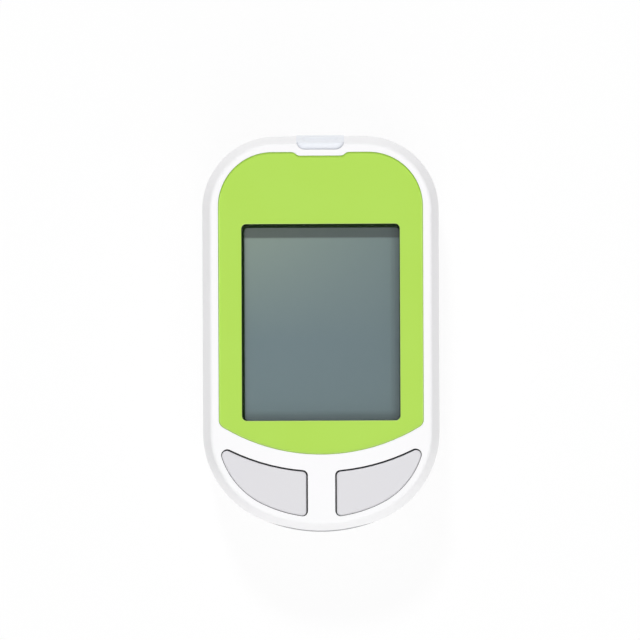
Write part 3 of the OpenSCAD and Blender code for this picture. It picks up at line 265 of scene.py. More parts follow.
BROW_R = PLATE_ARC_R + BUTTON_DROP
LOW_R = BASE_ARC_R - BUTTON_MARGIN
FLANK_R = BASE_CORNER_R - BUTTON_MARGIN
INNER_X = WEB_HALF + BUTTON_R
BROW_TURN = math.degrees(math.asin(INNER_X / (BROW_R + BUTTON_R)))
BROW_Y = PLATE_ARC_Y - (BROW_R + BUTTON_R) * cosd(BROW_TURN)
LOW_TURN = math.degrees(math.asin(INNER_X / (LOW_R - BUTTON_R)))
LOW_Y = BASE_Y - (LOW_R - BUTTON_R) * cosd(LOW_TURN)
TIP = circle_meet((0, PLATE_ARC_Y), BROW_R + TIP_R, (CORNER_X, CORNER_Y), FLANK_R - TIP_R)
TIP_BROW_TURN = math.degrees(math.atan2(TIP[0], PLATE_ARC_Y - TIP[1]))
TIP_FLANK_TURN = math.degrees(math.atan2(TIP[1] - CORNER_Y, TIP[0] - CORNER_X))
BUTTON_ARCS = [
    (INNER_X, LOW_Y, BUTTON_R, 1, 180, 270 + LOW_TURN),
    (0, BASE_Y, LOW_R, 1, 270 + LOW_TURN, 270 + BASE_TURN),
    (CORNER_X, CORNER_Y, FLANK_R, 1, BASE_TURN - 90, TIP_FLANK_TURN),
    (TIP[0], TIP[1], TIP_R, 1, TIP_FLANK_TURN, 90 + TIP_BROW_TURN),
    (0, PLATE_ARC_Y, BROW_R, -1, 270 + TIP_BROW_TURN, 270 + BROW_TURN),
    (INNER_X, BROW_Y, BUTTON_R, 1, 90 + BROW_TURN, 180),
]
SWITCH_X = WEB_HALF + SWITCH_IN
SWITCH_Y = (PLATE_ARC_Y - math.sqrt(BROW_R ** 2 - SWITCH_X ** 2)
            + CORNER_Y - math.sqrt(FLANK_R ** 2 - (SWITCH_X - CORNER_X) ** 2)) / 2

WINDOW_ARCS = box_arcs(-WINDOW_HALF, WINDOW_HALF, WINDOW_Y0, WINDOW_Y1, WINDOW_R, WINDOW_R)
PORT_Y = HALF_L - PORT_DEPTH
PORT_ARCS = box_arcs(-PORT_HALF, PORT_HALF, PORT_Y, HALF_L + OVER, PORT_CORNER_R, DOOR_END_R)

TUB_Y0, TUB_Y1 = TUB_BASE - HALF_L, HALF_L - TUB_END
CELL_Z = FLOOR_Z + CELL_GAP + CELL_R
TUB_ROOF_Z = CELL_Z + CELL_R + CELL_GAP
TUB_TOP = TUB_ROOF_Z + TUB_ROOF_T
TUB_HALF = 2 * CELL_R + 1.5 * CELL_GAP
TUB_OUTER = TUB_HALF + TUB_WALL
CELL_X = CELL_R + CELL_GAP / 2
BOARD_Z, BOARD_TOP = TUB_TOP + BOARD_GAP, TUB_TOP + BOARD_RISE
DISPLAY_TOP = BOARD_TOP + DISPLAY_H
LEDGE_Z = DISPLAY_TOP + GASKET_T
STRIP_Z = BOARD_TOP + STRIP_H
PLUNGER_TOP = BOARD_TOP + PLUNGER_H

DOOR_Y0, DOOR_Y1 = TUB_Y0 - LATCH_LAP, TUB_Y1 + HINGE_LAP
DOOR_ARCS = box_arcs(-DOOR_HALF, DOOR_HALF, DOOR_Y0, DOOR_Y1, DOOR_R, DOOR_END_R)
DOOR_TOP, DOOR_SEAT = BACK_Z + DOOR_T, BACK_Z + DOOR_T + FIT / 2
PIVOT_Y, PIVOT_Z = DOOR_Y1 - DOOR_T / 2, BACK_Z + DOOR_T / 2
HOOK_Z = DOOR_TOP + HOOK_LIFT
HOOK_TOP = HOOK_Z + HOOK_T
HOOK_SWEEP = math.hypot(HOOK_REACH, HOOK_TOP - PIVOT_Z) + HOOK_GAP
LATCH_Y = DOOR_Y0 - LATCH_L
NIB_Y, NIB_HALF = LATCH_Y + NIB_END, LATCH_HALF - NIB_IN
GRIP_Y = DOOR_Y0 + GRIP_IN

SCREWS = [(s * (HALF_W - SCREW_SIDE), HALF_L - SCREW_END) for s in SIDES]
BASE_SCREW = (0, LATCH_Y - NAIL_GAP - BASE_SCREW_WALL - HEAD_R - PASS_GAP)
BOARD_SCREW_X = WINDOW_HALF + LENS_LAP + 2 * FIT + HOLDER_WALL + BOARD_BOSS_R
BOARD_SCREWS = [(s * BOARD_SCREW_X, y) for s in SIDES
                for y in (WINDOW_Y0 + BOARD_SCREW_END, WINDOW_Y1 - BOARD_SCREW_END)]
BACK_FLAT = BACK_EDGE_R + BACK_LEAN
BASE_FOOT_REACH = BASE_CORNER_R - BACK_FLAT - FOOT_R - BASE_FOOT_GAP
FEET = [(s * x, y) for s in SIDES for x, y in (
    (HALF_W - BACK_FLAT - FOOT_R - FOOT_GAP, HALF_L - FOOT_END),
    (CORNER_X + BASE_FOOT_REACH * cosd(BASE_FOOT_TURN), CORNER_Y - BASE_FOOT_REACH * sind(BASE_FOOT_TURN)))]
LABEL_Y = HALF_L - BACK_FLAT - LABEL_END - LABEL_L / 2
LABEL_Y0, LABEL_Y1 = LABEL_Y - LABEL_L / 2, LABEL_Y + LABEL_L / 2
LABEL_ARCS = box_arcs(-LABEL_W / 2, LABEL_W / 2, LABEL_Y0, LABEL_Y1, LABEL_R, LABEL_R)
LEAN_H = TOP_Z - SHOULDER_R - SPLIT_Z
LEAN = math.degrees(math.atan(SIDE_LEAN / LEAN_H))
INNER_LEAN = SIDE_LEAN * (ROOF_Z - INNER_R - SPLIT_Z) / LEAN_H
BOARD_MARGIN = SIDE_WALL + SIDE_LEAN * (BOARD_TOP - SPLIT_Z) / LEAN_H + BOARD_EDGE_GAP
SIDE_X = (TUB_OUTER + HALF_W - BOARD_MARGIN) / 2
BUZZER_Y = (WINDOW_Y0 + WINDOW_Y1) / 2


# ---- Solids: temporary objects that the pieces are put together from ----
def make_object(name, points, faces):
    mesh = bpy.data.meshes.new(name)
    mesh.from_pydata([Vector(p) * MM for p in points], [], faces)
    mesh.validate()
    obj = bpy.data.objects.new(name, mesh)
    bpy.context.scene.collection.objects.link(obj)
    return obj


def loft(arcs, steps):
    """A solid through a stack of outlines, each given as (inset, height), lowest first."""
    rings = [[(x, y, z) for x, y in outline(arcs, inset)] for inset, z in steps]
    n = len(rings[0])
    assert all(len(ring) == n for ring in rings), "an inset uses up an arc"
    faces = [(a + k, a + (k + 1) % n, a + n + (k + 1) % n, a + n + k)
             for a in range(0, n * (len(rings) - 1), n) for k in range(n)]
    faces.append(tuple(range(n - 1, -1, -1)))
    faces.append(tuple(range(n * (len(rings) - 1), n * len(rings))))
    return make_object("solid", [p for ring in rings for p in ring], faces)


def slab(arcs, z0, z1, inset=0.0):
    """A solid with upright sides between two heights."""
    return loft(arcs, [(inset, z0), (inset, z1)])


def block(low, high):
    """A box between its lowest and its highest corner."""
    x0, y0, z0 = low
    x1, y1, z1 = high
    points = [(x, y, z) for z in (z0, z1) for x, y in ((x0, y0), (x1, y0), (x1, y1), (x0, y1))]
    faces = [(3, 2, 1, 0), (4, 5, 6, 7), (0, 1, 5, 4), (1, 2, 6, 5), (2, 3, 7, 6), (3, 0, 4, 7)]
    return make_object("solid", points, faces)


def post(at, r, z0, z1):
    """An upright round solid."""
    return slab(circle(at[0], at[1], r), z0, z1)


def rod(at, r, length):
    """A round solid along X from a point."""
    obj = post((0, 0), r, 0, length)
    obj.data.transform(Matrix.Translation(Vector(at) * MM) @ Matrix.Rotation(math.radians(90), 4, "Y"))
    return obj


def quarter(run, rise=None, count=ROUND_STEPS):
    """Steps of a quarter round, as (run, rise) from its foot; it is a circle's unless rise is given."""
    rise = rise or run
    return [(run * (1 - cosd(90 * k / count)), rise * sind(90 * k / count)) for k in range(count + 1)]


def hole_up(arcs, z0, top, e, inset=0.0):
    """A cutter that leaves a rounded edge where it meets the face at height top, above it."""
    flare = [(inset - run, top - e + rise) for run, rise in quarter(e)]
    return loft(arcs, [(inset, z0)] + flare + [(inset - e, top + OVER)])


def hole_down(arcs, bottom, z1, e=RIM, inset=0.0):
    """The same for a face that looks down, at height bottom."""
    flare = [(inset - run, bottom + e - rise) for run, rise in reversed(quarter(e))]
    return loft(arcs, [(inset - e, bottom - OVER)] + flare + [(inset, z1)])


def rounded_up(arcs, z0, top, e, inset, drop=None, count=ROUND_STEPS):
    """A slab whose upper edge is rounded over the width e, and over the height drop where it is given."""
    drop = drop or e
    edge = [(inset + run, top - drop + rise) for run, rise in quarter(e, drop, count)]
    return loft(arcs, [(inset, z0)] + edge)


def rounded_down(arcs, bottom, z1, e):
    """A slab with a rounded lower edge."""
    return loft(arcs, [(run, bottom + e - rise) for run, rise in reversed(quarter(e))] + [(0.0, z1)])


def combine(base, operation, tools):
    """Joins tools to base, cuts them from it or intersects with them, and uses the tools up."""
    for tool in tools:
        step = base.modifiers.new("step", "BOOLEAN")
        step.operation, step.solver, step.object = operation, "MANIFOLD", tool
        graph = bpy.context.evaluated_depsgraph_get()
        mesh = bpy.data.meshes.new_from_object(base.evaluated_get(graph))
        base.modifiers.clear()
        base.data, old = mesh, base.data
        bpy.data.meshes.remove(old)
        bpy.data.meshes.remove(tool.data)
    return base


def join(base, *tools):
    return combine(base, "UNION", tools)


def cut(base, *tools):
    return combine(base, "DIFFERENCE", tools)


def common(base, *tools):
    return combine(base, "INTERSECT", tools)


def piece(obj, name, body, material, nodes, second=None, where=None):
    """Names a finished mesh, smooths it between its creases and lets it stand for CAD nodes.

    The faces whose middle, in millimetres, and normal pass the test where get the second material.
    """
    work = bmesh.new()
    work.from_mesh(obj.data)
    bmesh.ops.remove_doubles(work, verts=work.verts, dist=SAME_CORNER * MM)
    bmesh.ops.dissolve_degenerate(work, edges=work.edges, dist=SAME_CORNER * MM)
    work.to_mesh(obj.data)
    work.free()
    obj.name = obj.data.name = name
    obj.data.materials.clear()
    obj.data.materials.append(material)
    if second:
        obj.data.materials.append(second)
        for face in obj.data.polygons:
            face.material_index = int(where(face.center / MM, face.normal))
    obj.data.shade_smooth()
    obj.data.set_sharp_from_angle(angle=math.radians(CREASE))
    smooth = obj.modifiers.new("normals", "WEIGHTED_NORMAL")
    smooth.keep_sharp = True
    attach(obj, body)
    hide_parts(*nodes)
    return obj


# ---- Materials ----
def node_tree(name):
    """A new material and its empty node tree."""
    material = bpy.data.materials.new(name)
    material.use_nodes = True
    tree = material.node_tree
    tree.nodes.clear()
    return material, tree


def add(tree, kind, **values):
    """A shader node; each value goes to the input of that name, or else to the node's own setting."""
    node = tree.nodes.new("ShaderNode" + kind)
    for key, value in values.items():
        if key in node.inputs:
            node.inputs[key].default_value = value
        else:
            setattr(node, key, value)
    return node


def noise(tree, scale, detail=2.0):
    """Noise in the object's own coordinates, with its scale per millimetre."""
    place = add(tree, "TexCoord")
    grain = add(tree, "TexNoise", Scale=scale / MM, Detail=detail)
    tree.links.new(place.outputs["Object"], grain.inputs["Vector"])
    return grain.outputs["Fac"]


def spread(tree, value, low, high, first=0.3, last=0.7):
    """Maps a value between first and last, such as noise, to numbers between low and high."""
    node = add(tree, "MapRange")
    node.inputs["From Min"].default_value, node.inputs["From Max"].default_value = first, last
    node.inputs["To Min"].default_value, node.inputs["To Max"].default_value = low, high
    tree.links.new(value, node.inputs["Value"])
    return node.outputs["Result"]


def linear(colour):
    """A screen colour of 0 to 255 as the linear numbers that a shader takes (the sRGB curve)."""
    return [((c / 255 + 0.055) / 1.055) ** 2.4 if c > 10 else c / 3294.6 for c in colour] + [1.0]


def shades(tree, value, first, second):
    """The first colour where the value is 0, the second where it is 1."""
    mix = add(tree, "Mix", data_type="RGBA")
    mix.inputs[6].default_value, mix.inputs[7].default_value = linear(first), linear(second)
    tree.links.new(value, mix.inputs[0])
    return mix.outputs[2]


BUMP = 0.5


def moulded(name, first, second, rough=(0.42, 0.48), grain=1.5, relief=0.004, drift=0.05, metal=0.0,
            shine=0.5):
    """Moulded plastic or plain metal: slow colour drift, fine surface grain and uneven gloss.

    grain and drift are noise scales per millimetre, and relief is the grain's depth in millimetres.
    """
    material, tree = node_tree(name)
    shader, out = add(tree, "BsdfPrincipled", Metallic=metal), add(tree, "OutputMaterial")
    shader.inputs["Specular IOR Level"].default_value = shine
    tint = spread(tree, noise(tree, drift), 0.0, 1.0)
    tree.links.new(shades(tree, tint, first, second), shader.inputs["Base Color"])
    fine = noise(tree, grain)
    tree.links.new(spread(tree, fine, *rough), shader.inputs["Roughness"])
    if relief:
        bump = add(tree, "Bump", Strength=BUMP, Distance=relief * MM)
        tree.links.new(fine, bump.inputs["Height"])
        tree.links.new(bump.outputs["Normal"], shader.inputs["Normal"])
    tree.links.new(shader.outputs[0], out.inputs["Surface"])
    return material


def display_face(name):
    """The unlit liquid crystal display: paler at its upper left, with a painted shadow along its head and
    painted shade along its edges.
    """
    material, tree = node_tree(name)
    shader, out = add(tree, "BsdfPrincipled"), add(tree, "OutputMaterial")
    place, split = add(tree, "TexCoord"), add(tree, "SeparateXYZ")
    tree.links.new(place.outputs["Object"], split.inputs[0])
    x, y = split.outputs["X"], split.outputs["Y"]
    tint = add(tree, "Math", operation="MULTIPLY")
    tree.links.new(spread(tree, y, 0.0, 1.0, (WINDOW_Y1 - LCD_FADE) * MM, WINDOW_Y1 * MM), tint.inputs[0])
    tree.links.new(spread(tree, x, 1.0, LCD_RIGHT, -WINDOW_HALF * MM, WINDOW_HALF * MM), tint.inputs[1])
    colour = shades(tree, tint.outputs[0], LCD_FOOT, LCD_HEAD)
    shadow_band_y = WINDOW_Y1 - LCD_SHADOW_BAND
    shadow_band_y0, shadow_band_y1 = shadow_band_y - LCD_BLUR_LOW, shadow_band_y + LCD_BLUR_HIGH
    left_x0, left_x1 = GASKET_SHADE_LEFT - WINDOW_HALF, GASKET_SHADE_LEFT + LCD_LEFT - WINDOW_HALF
    painted_shade_and_cloud = [
        # Painted shadow along the display's head, cast by the window's top edge
        spread(tree, y, 1.0, LCD_SHADOW_BAND_SHADE, shadow_band_y0 * MM, shadow_band_y1 * MM),
        # Painted shade along the display's base, right and left edges, where the window's walls shade it
        spread(tree, y, LCD_EDGE_SHADE, 1.0, (WINDOW_Y0 + LCD_RIM) * MM, (WINDOW_Y0 + LCD_EDGE_SHADE_END) * MM),
        spread(tree, x, 1.0, LCD_EDGE_SHADE, (WINDOW_HALF - LCD_EDGE_SHADE_END) * MM, (WINDOW_HALF - LCD_RIM) * MM),
        spread(tree, x, LCD_EDGE_SHADE, 1.0, left_x0 * MM, left_x1 * MM),
        spread(tree, x, 1.0, LCD_RIGHT_SHADE, -WINDOW_HALF * MM, WINDOW_HALF * MM),
        spread(tree, noise(tree, CLOUD_SCALE, 0.0), *LCD_CLOUD, 0.0, 1.0),
    ]
    for factor in painted_shade_and_cloud:
        darker = add(tree, "VectorMath", operation="SCALE")
        tree.links.new(colour, darker.inputs[0])
        tree.links.new(factor, darker.inputs["Scale"])
        colour = darker.outputs[0]
    tree.links.new(colour, shader.inputs["Base Color"])
    gloss = spread(tree, noise(tree, LCD_GLOSS_SCALE, 0.0), *LCD_GLOSS, 0.0, 1.0)
    tree.links.new(gloss, shader.inputs["Roughness"])
    tree.links.new(shader.outputs[0], out.inputs["Surface"])
    return material


def clear_plastic(name):
    """A clear window: light passes straight, and the face that it enters mirrors a little."""
    material, tree = node_tree(name)
    out = add(tree, "OutputMaterial")
    through = add(tree, "BsdfTransparent", Color=linear(LENS_TINT))
    mirror = add(tree, "BsdfGlossy")
    share, side = add(tree, "Fresnel", IOR=LENS_IOR), add(tree, "NewGeometry")
    front = spread(tree, side.outputs["Backfacing"], 1.0, 0.0, 0.0, 1.0)
    outer = add(tree, "Math", operation="MULTIPLY")
    tree.links.new(share.outputs[0], outer.inputs[0])
    tree.links.new(front, outer.inputs[1])
    mix = add(tree, "MixShader")
    smear = spread(tree, noise(tree, LENS_GLOSS_SCALE, 0.0), *LENS_GLOSS, 0.0, 1.0)
    tree.links.new(smear, mirror.inputs["Roughness"])
    tree.links.new(outer.outputs[0], mix.inputs[0])
    tree.links.new(through.outputs[0], mix.inputs[1])
    tree.links.new(mirror.outputs[0], mix.inputs[2])
    tree.links.new(mix.outputs[0], out.inputs["Surface"])
    return material


# Refractive index at which the coated window mirrors as little as it does, and its tint
LENS_IOR, LENS_TINT = 1.15, (250, 252, 252)
LENS_GLOSS, LENS_GLOSS_SCALE = (0.14, 0.18), 0.03
LCD_HEAD, LCD_FOOT = (137, 149, 138), (105, 121, 126)
# The paler shade fades this far down from the window's top, to this share of itself at the right side, and
# the whole face is this much darker there
LCD_FADE, LCD_RIGHT, LCD_RIGHT_SHADE = 28.5, 0.3, 0.9
# The height and shade of the painted shadow that the window's top edge casts on the display's head, and how
# far its edge blurs downwards and upwards
LCD_SHADOW_BAND, LCD_SHADOW_BAND_SHADE = 3.5, 0.36
LCD_BLUR_LOW, LCD_BLUR_HIGH = 0.15, 0.3
# Painted shade along the display's edges, where the window's walls shade it: darkest this far from the
# window's edge, ending this far from it, and the left one LCD_LEFT wide
LCD_RIM, LCD_EDGE_SHADE_END, LCD_LEFT, LCD_EDGE_SHADE = 0.75, 2.6, 0.6, 0.62
LCD_CLOUD, CLOUD_SCALE = (0.98, 1.02), 0.04
LCD_GLOSS, LCD_GLOSS_SCALE = (0.3, 0.34), 0.05

WHITE = moulded("white_case", (247, 246, 248), (246, 246, 247))
# Painted shade for the parting groove's lower chamfer, where the groove is in shade
SEAM_SHADE = moulded("parting_line_shade", (158, 158, 161), (164, 164, 167), rough=(0.6, 0.7), shine=0.2)
GREEN = moulded("green_plate", (172, 215, 71), (173, 216, 75))
# Painted highlight: a paler green on the plate's rounded edges, for the light that they catch
GREEN_EDGE_HIGHLIGHT = moulded("green_plate_edge_highlight", (190, 227, 110), (193, 229, 114), rough=(0.2, 0.26))
GREY = moulded("button_grey", (220, 219, 222), (219, 218, 222))
# Painted shade for the buttons' sides, where the gap around them is in shade
BUTTON_GAP_SHADE = moulded("button_skirt", (72, 72, 75), (78, 78, 81), rough=(0.6, 0.7), shine=0.2)
PORT_GREY = moulded("port_grey", (239, 242, 248), (237, 240, 246))
CLEAR = clear_plastic("lens_clear")
LCD = display_face("lcd_face")
# Dark green foam, which also stands in for the shade of the window's green walls
FOAM_AND_SHADE = moulded("foam_black_and_shade", (20, 38, 10), (26, 44, 16), rough=(0.8, 0.95), relief=0.03, shine=0.1)
BOARD = moulded("board_green", (22, 84, 46), (28, 96, 54), rough=(0.3, 0.45), relief=0.004)
GLASS = moulded("display_glass", (150, 165, 160), (158, 172, 166), rough=(0.08, 0.12), relief=0)
FILM = moulded("silver_film", (182, 188, 186), (190, 196, 192), rough=(0.25, 0.4), relief=0.002)
HOLDER = moulded("holder_white", (226, 226, 222), (232, 232, 228), rough=(0.45, 0.55))
ZEBRA = moulded("zebra_rubber", (40, 42, 46), (150, 150, 146), rough=(0.6, 0.7), drift=3.0)
BLACK = moulded("black_plastic", (30, 31, 34), (38, 39, 42), rough=(0.4, 0.5))
CHIP = moulded("chip_epoxy", (26, 27, 29), (36, 37, 39), rough=(0.55, 0.7), grain=4.0, relief=0.006)
GOLD = moulded("contact_gold", (222, 180, 92), (230, 190, 104), rough=(0.2, 0.3), metal=1.0)
STEEL = moulded("bright_steel", (190, 192, 195), (204, 205, 207), rough=(0.22, 0.34), metal=1.0)
NICKEL = moulded("spring_nickel", (196, 192, 182), (208, 204, 194), rough=(0.2, 0.3), metal=1.0)
SCREW = moulded("screw_zinc", (176, 178, 182), (190, 191, 194), rough=(0.28, 0.4), metal=1.0)
TIN = moulded("lead_tin", (186, 188, 190), (200, 201, 203), rough=(0.25, 0.4), metal=1.0)
CREAM = moulded("plunger_cream", (226, 222, 206), (232, 228, 214), rough=(0.4, 0.5))
CERAMIC = moulded("capacitor_tan", (168, 128, 84), (182, 144, 98), rough=(0.5, 0.6))
JACKET = moulded("cell_jacket", (46, 58, 72), (54, 66, 80), rough=(0.22, 0.32), relief=0)
RUBBER = moulded("foot_rubber", (66, 68, 71), (76, 78, 81), rough=(0.7, 0.85), relief=0.02)
LABEL = moulded("blank_label", (206, 208, 208), (214, 215, 215), rough=(0.45, 0.55))

CAD_FINISH = {
    "main_board": BOARD, "lcd_front_glass": GLASS, "lcd_rear_glass": GLASS,
    "lcd_polarizer": LCD, "lcd_reflector": FILM, "display_holder": HOLDER, "zebra_strip": ZEBRA,
    "strip_connector": BLACK, "strip_contacts": GOLD, "switch_bases": BLACK, "switch_covers": STEEL,
    "left_plunger": CREAM, "right_plunger": CREAM, "microcontroller": CHIP, "sensor_chip": CHIP,
    "memory_chip": CHIP, "chip_leads": TIN, "crystal": STEEL, "buzzer": BLACK, "board_capacitors": CERAMIC,
    "board_resistors": CHIP, "battery_cells": STEEL, "battery_jackets": JACKET, "negative_contact": NICKEL,
    "positive_contact": NICKEL, "bridge_contact": NICKEL, "cover_screws": SCREW, "board_screws": SCREW,
    "rating_label": LABEL,
}
# Width of the bevel on each CAD node that gets one, in millimetres
SOFT_EDGE = {
    "microcontroller": 0.08, "sensor_chip": 0.08, "memory_chip": 0.08, "strip_connector": 0.15,
    "switch_bases": 0.12, "switch_covers": 0.06, "main_board": 0.05, "battery_cells": 0.12,
    "left_plunger": 0.15, "right_plunger": 0.15, "buzzer": 0.25, "crystal": 0.2, "display_holder": 0.12,
    "board_capacitors": 0.08, "board_resistors": 0.08, "cover_screws": 0.1, "board_screws": 0.08,
    "rating_label": 0.03,
}


def dress_cad_nodes():
    """Gives the nodes that keep their CAD shape a material, and an edge radius where they have one."""
    for name, material in CAD_FINISH.items():
        obj = frame["nodes"][name]
        obj.data.materials.clear()
        obj.data.materials.append(material)
        weld = obj.modifiers.new("weld", "WELD")
        weld.merge_threshold = SAME_CAD_CORNER * MM
        if name in SOFT_EDGE:
            edge = obj.modifiers.new("edge", "BEVEL")
            edge.width, edge.segments, edge.limit_method = SOFT_EDGE[name] * MM, 2, "ANGLE"
            edge.angle_limit = math.radians(CAD_CREASE)
            edge.harden_normals = True


# ---- The pieces ----
def front_profile(top):
    """The front cover's side up to a height: a slightly crowned wall and a shoulder, as (inset, height)."""
    steps = [(GROOVE, SPLIT_Z), (0.0, SPLIT_Z + GROOVE)]
    wall_h = top - SHOULDER_R - SPLIT_Z - GROOVE
    lean = SIDE_LEAN * (top - SHOULDER_R - SPLIT_Z) / LEAN_H
    for k in range(1, WIDE_ROUND_STEPS):
        t = k / WIDE_ROUND_STEPS
        steps.append((lean * t - 4 * SIDE_BULGE * t * (1 - t), SPLIT_Z + GROOVE + wall_h * t))
    for k in range(WIDE_ROUND_STEPS + 1):
        a = LEAN + (90 - LEAN) * k / WIDE_ROUND_STEPS
        steps.append((lean + SHOULDER_R * (cosd(LEAN) - cosd(a)), top - SHOULDER_R * (1 - sind(a))))
    return steps


def front_cover():
    """The upper shell with its bosses, the plate's recess and the openings."""
    cover = loft(BODY_ARCS, front_profile(TOP_Z))
    foot = slab(BODY_ARCS, SPLIT_Z - OVER, TOP_Z + OVER, FOOT_STEP)
    end = Vector((0, -HALF_L, 0)) * MM
    wider = Matrix.Diagonal((FOOT_WIDER, FOOT_LONGER, 1, 1))
    foot.data.transform(Matrix.Translation(end) @ wider @ Matrix.Translation(-end))
    common(cover, foot)
    inner = [(SIDE_WALL, SPLIT_Z - OVER), (SIDE_WALL, SPLIT_Z)]
    inner += [(SIDE_WALL + INNER_LEAN + INNER_R * (1 - cosd(a)), ROOF_Z - INNER_R * (1 - sind(a)))
              for a in range(0, 91, 15)]
    cut(cover, loft(BODY_ARCS, inner))
    join(cover, slab(WINDOW_ARCS, LEDGE_Z, ROOF_Z + SUNK, -LENS_LAP - FIT - BEZEL_W))
    join(cover, *[post(p, BOSS_R, SPLIT_Z, ROOF_Z + SUNK) for p in SCREWS])
    join(cover, post(BASE_SCREW, BASE_BOSS_R, SPLIT_Z, ROOF_Z + SUNK))
    join(cover, *[post(p, BOARD_BOSS_R, BOARD_TOP, ROOF_Z + SUNK) for p in BOARD_SCREWS])
    cut(cover,
        hole_up(PLATE_ARCS, PLATE_Z, TOP_Z, FINE_RIM, -FIT),
        slab(WINDOW_ARCS, LENS_Z, PLATE_Z + OVER / 2, -LENS_LAP - FIT),
        slab(WINDOW_ARCS, LEDGE_Z - OVER, PLATE_Z + OVER / 2),
        hole_up(BUTTON_ARCS, ROOF_Z - OVER, TOP_Z, FINE_RIM),
        hole_up(mirrored(BUTTON_ARCS), ROOF_Z - OVER, TOP_Z, FINE_RIM),
        hole_up(PORT_ARCS, SPLIT_Z - OVER, TOP_Z, FINE_RIM, -FIT))
    cut(cover, *[post(p, SHANK_R + SCREW_GAP, SPLIT_Z - OVER, SEAT_Z + SHANK_L + FIT)
                 for p in SCREWS + [BASE_SCREW]])
    cut(cover, *[post(p, BOARD_SHANK_R + SCREW_GAP, BOARD_TOP - OVER, BOARD_Z + BOARD_SHANK_L + FIT)
                 for p in BOARD_SCREWS])
    return piece(cover, "front_cover_shell", "case", WHITE, ["front_cover"])


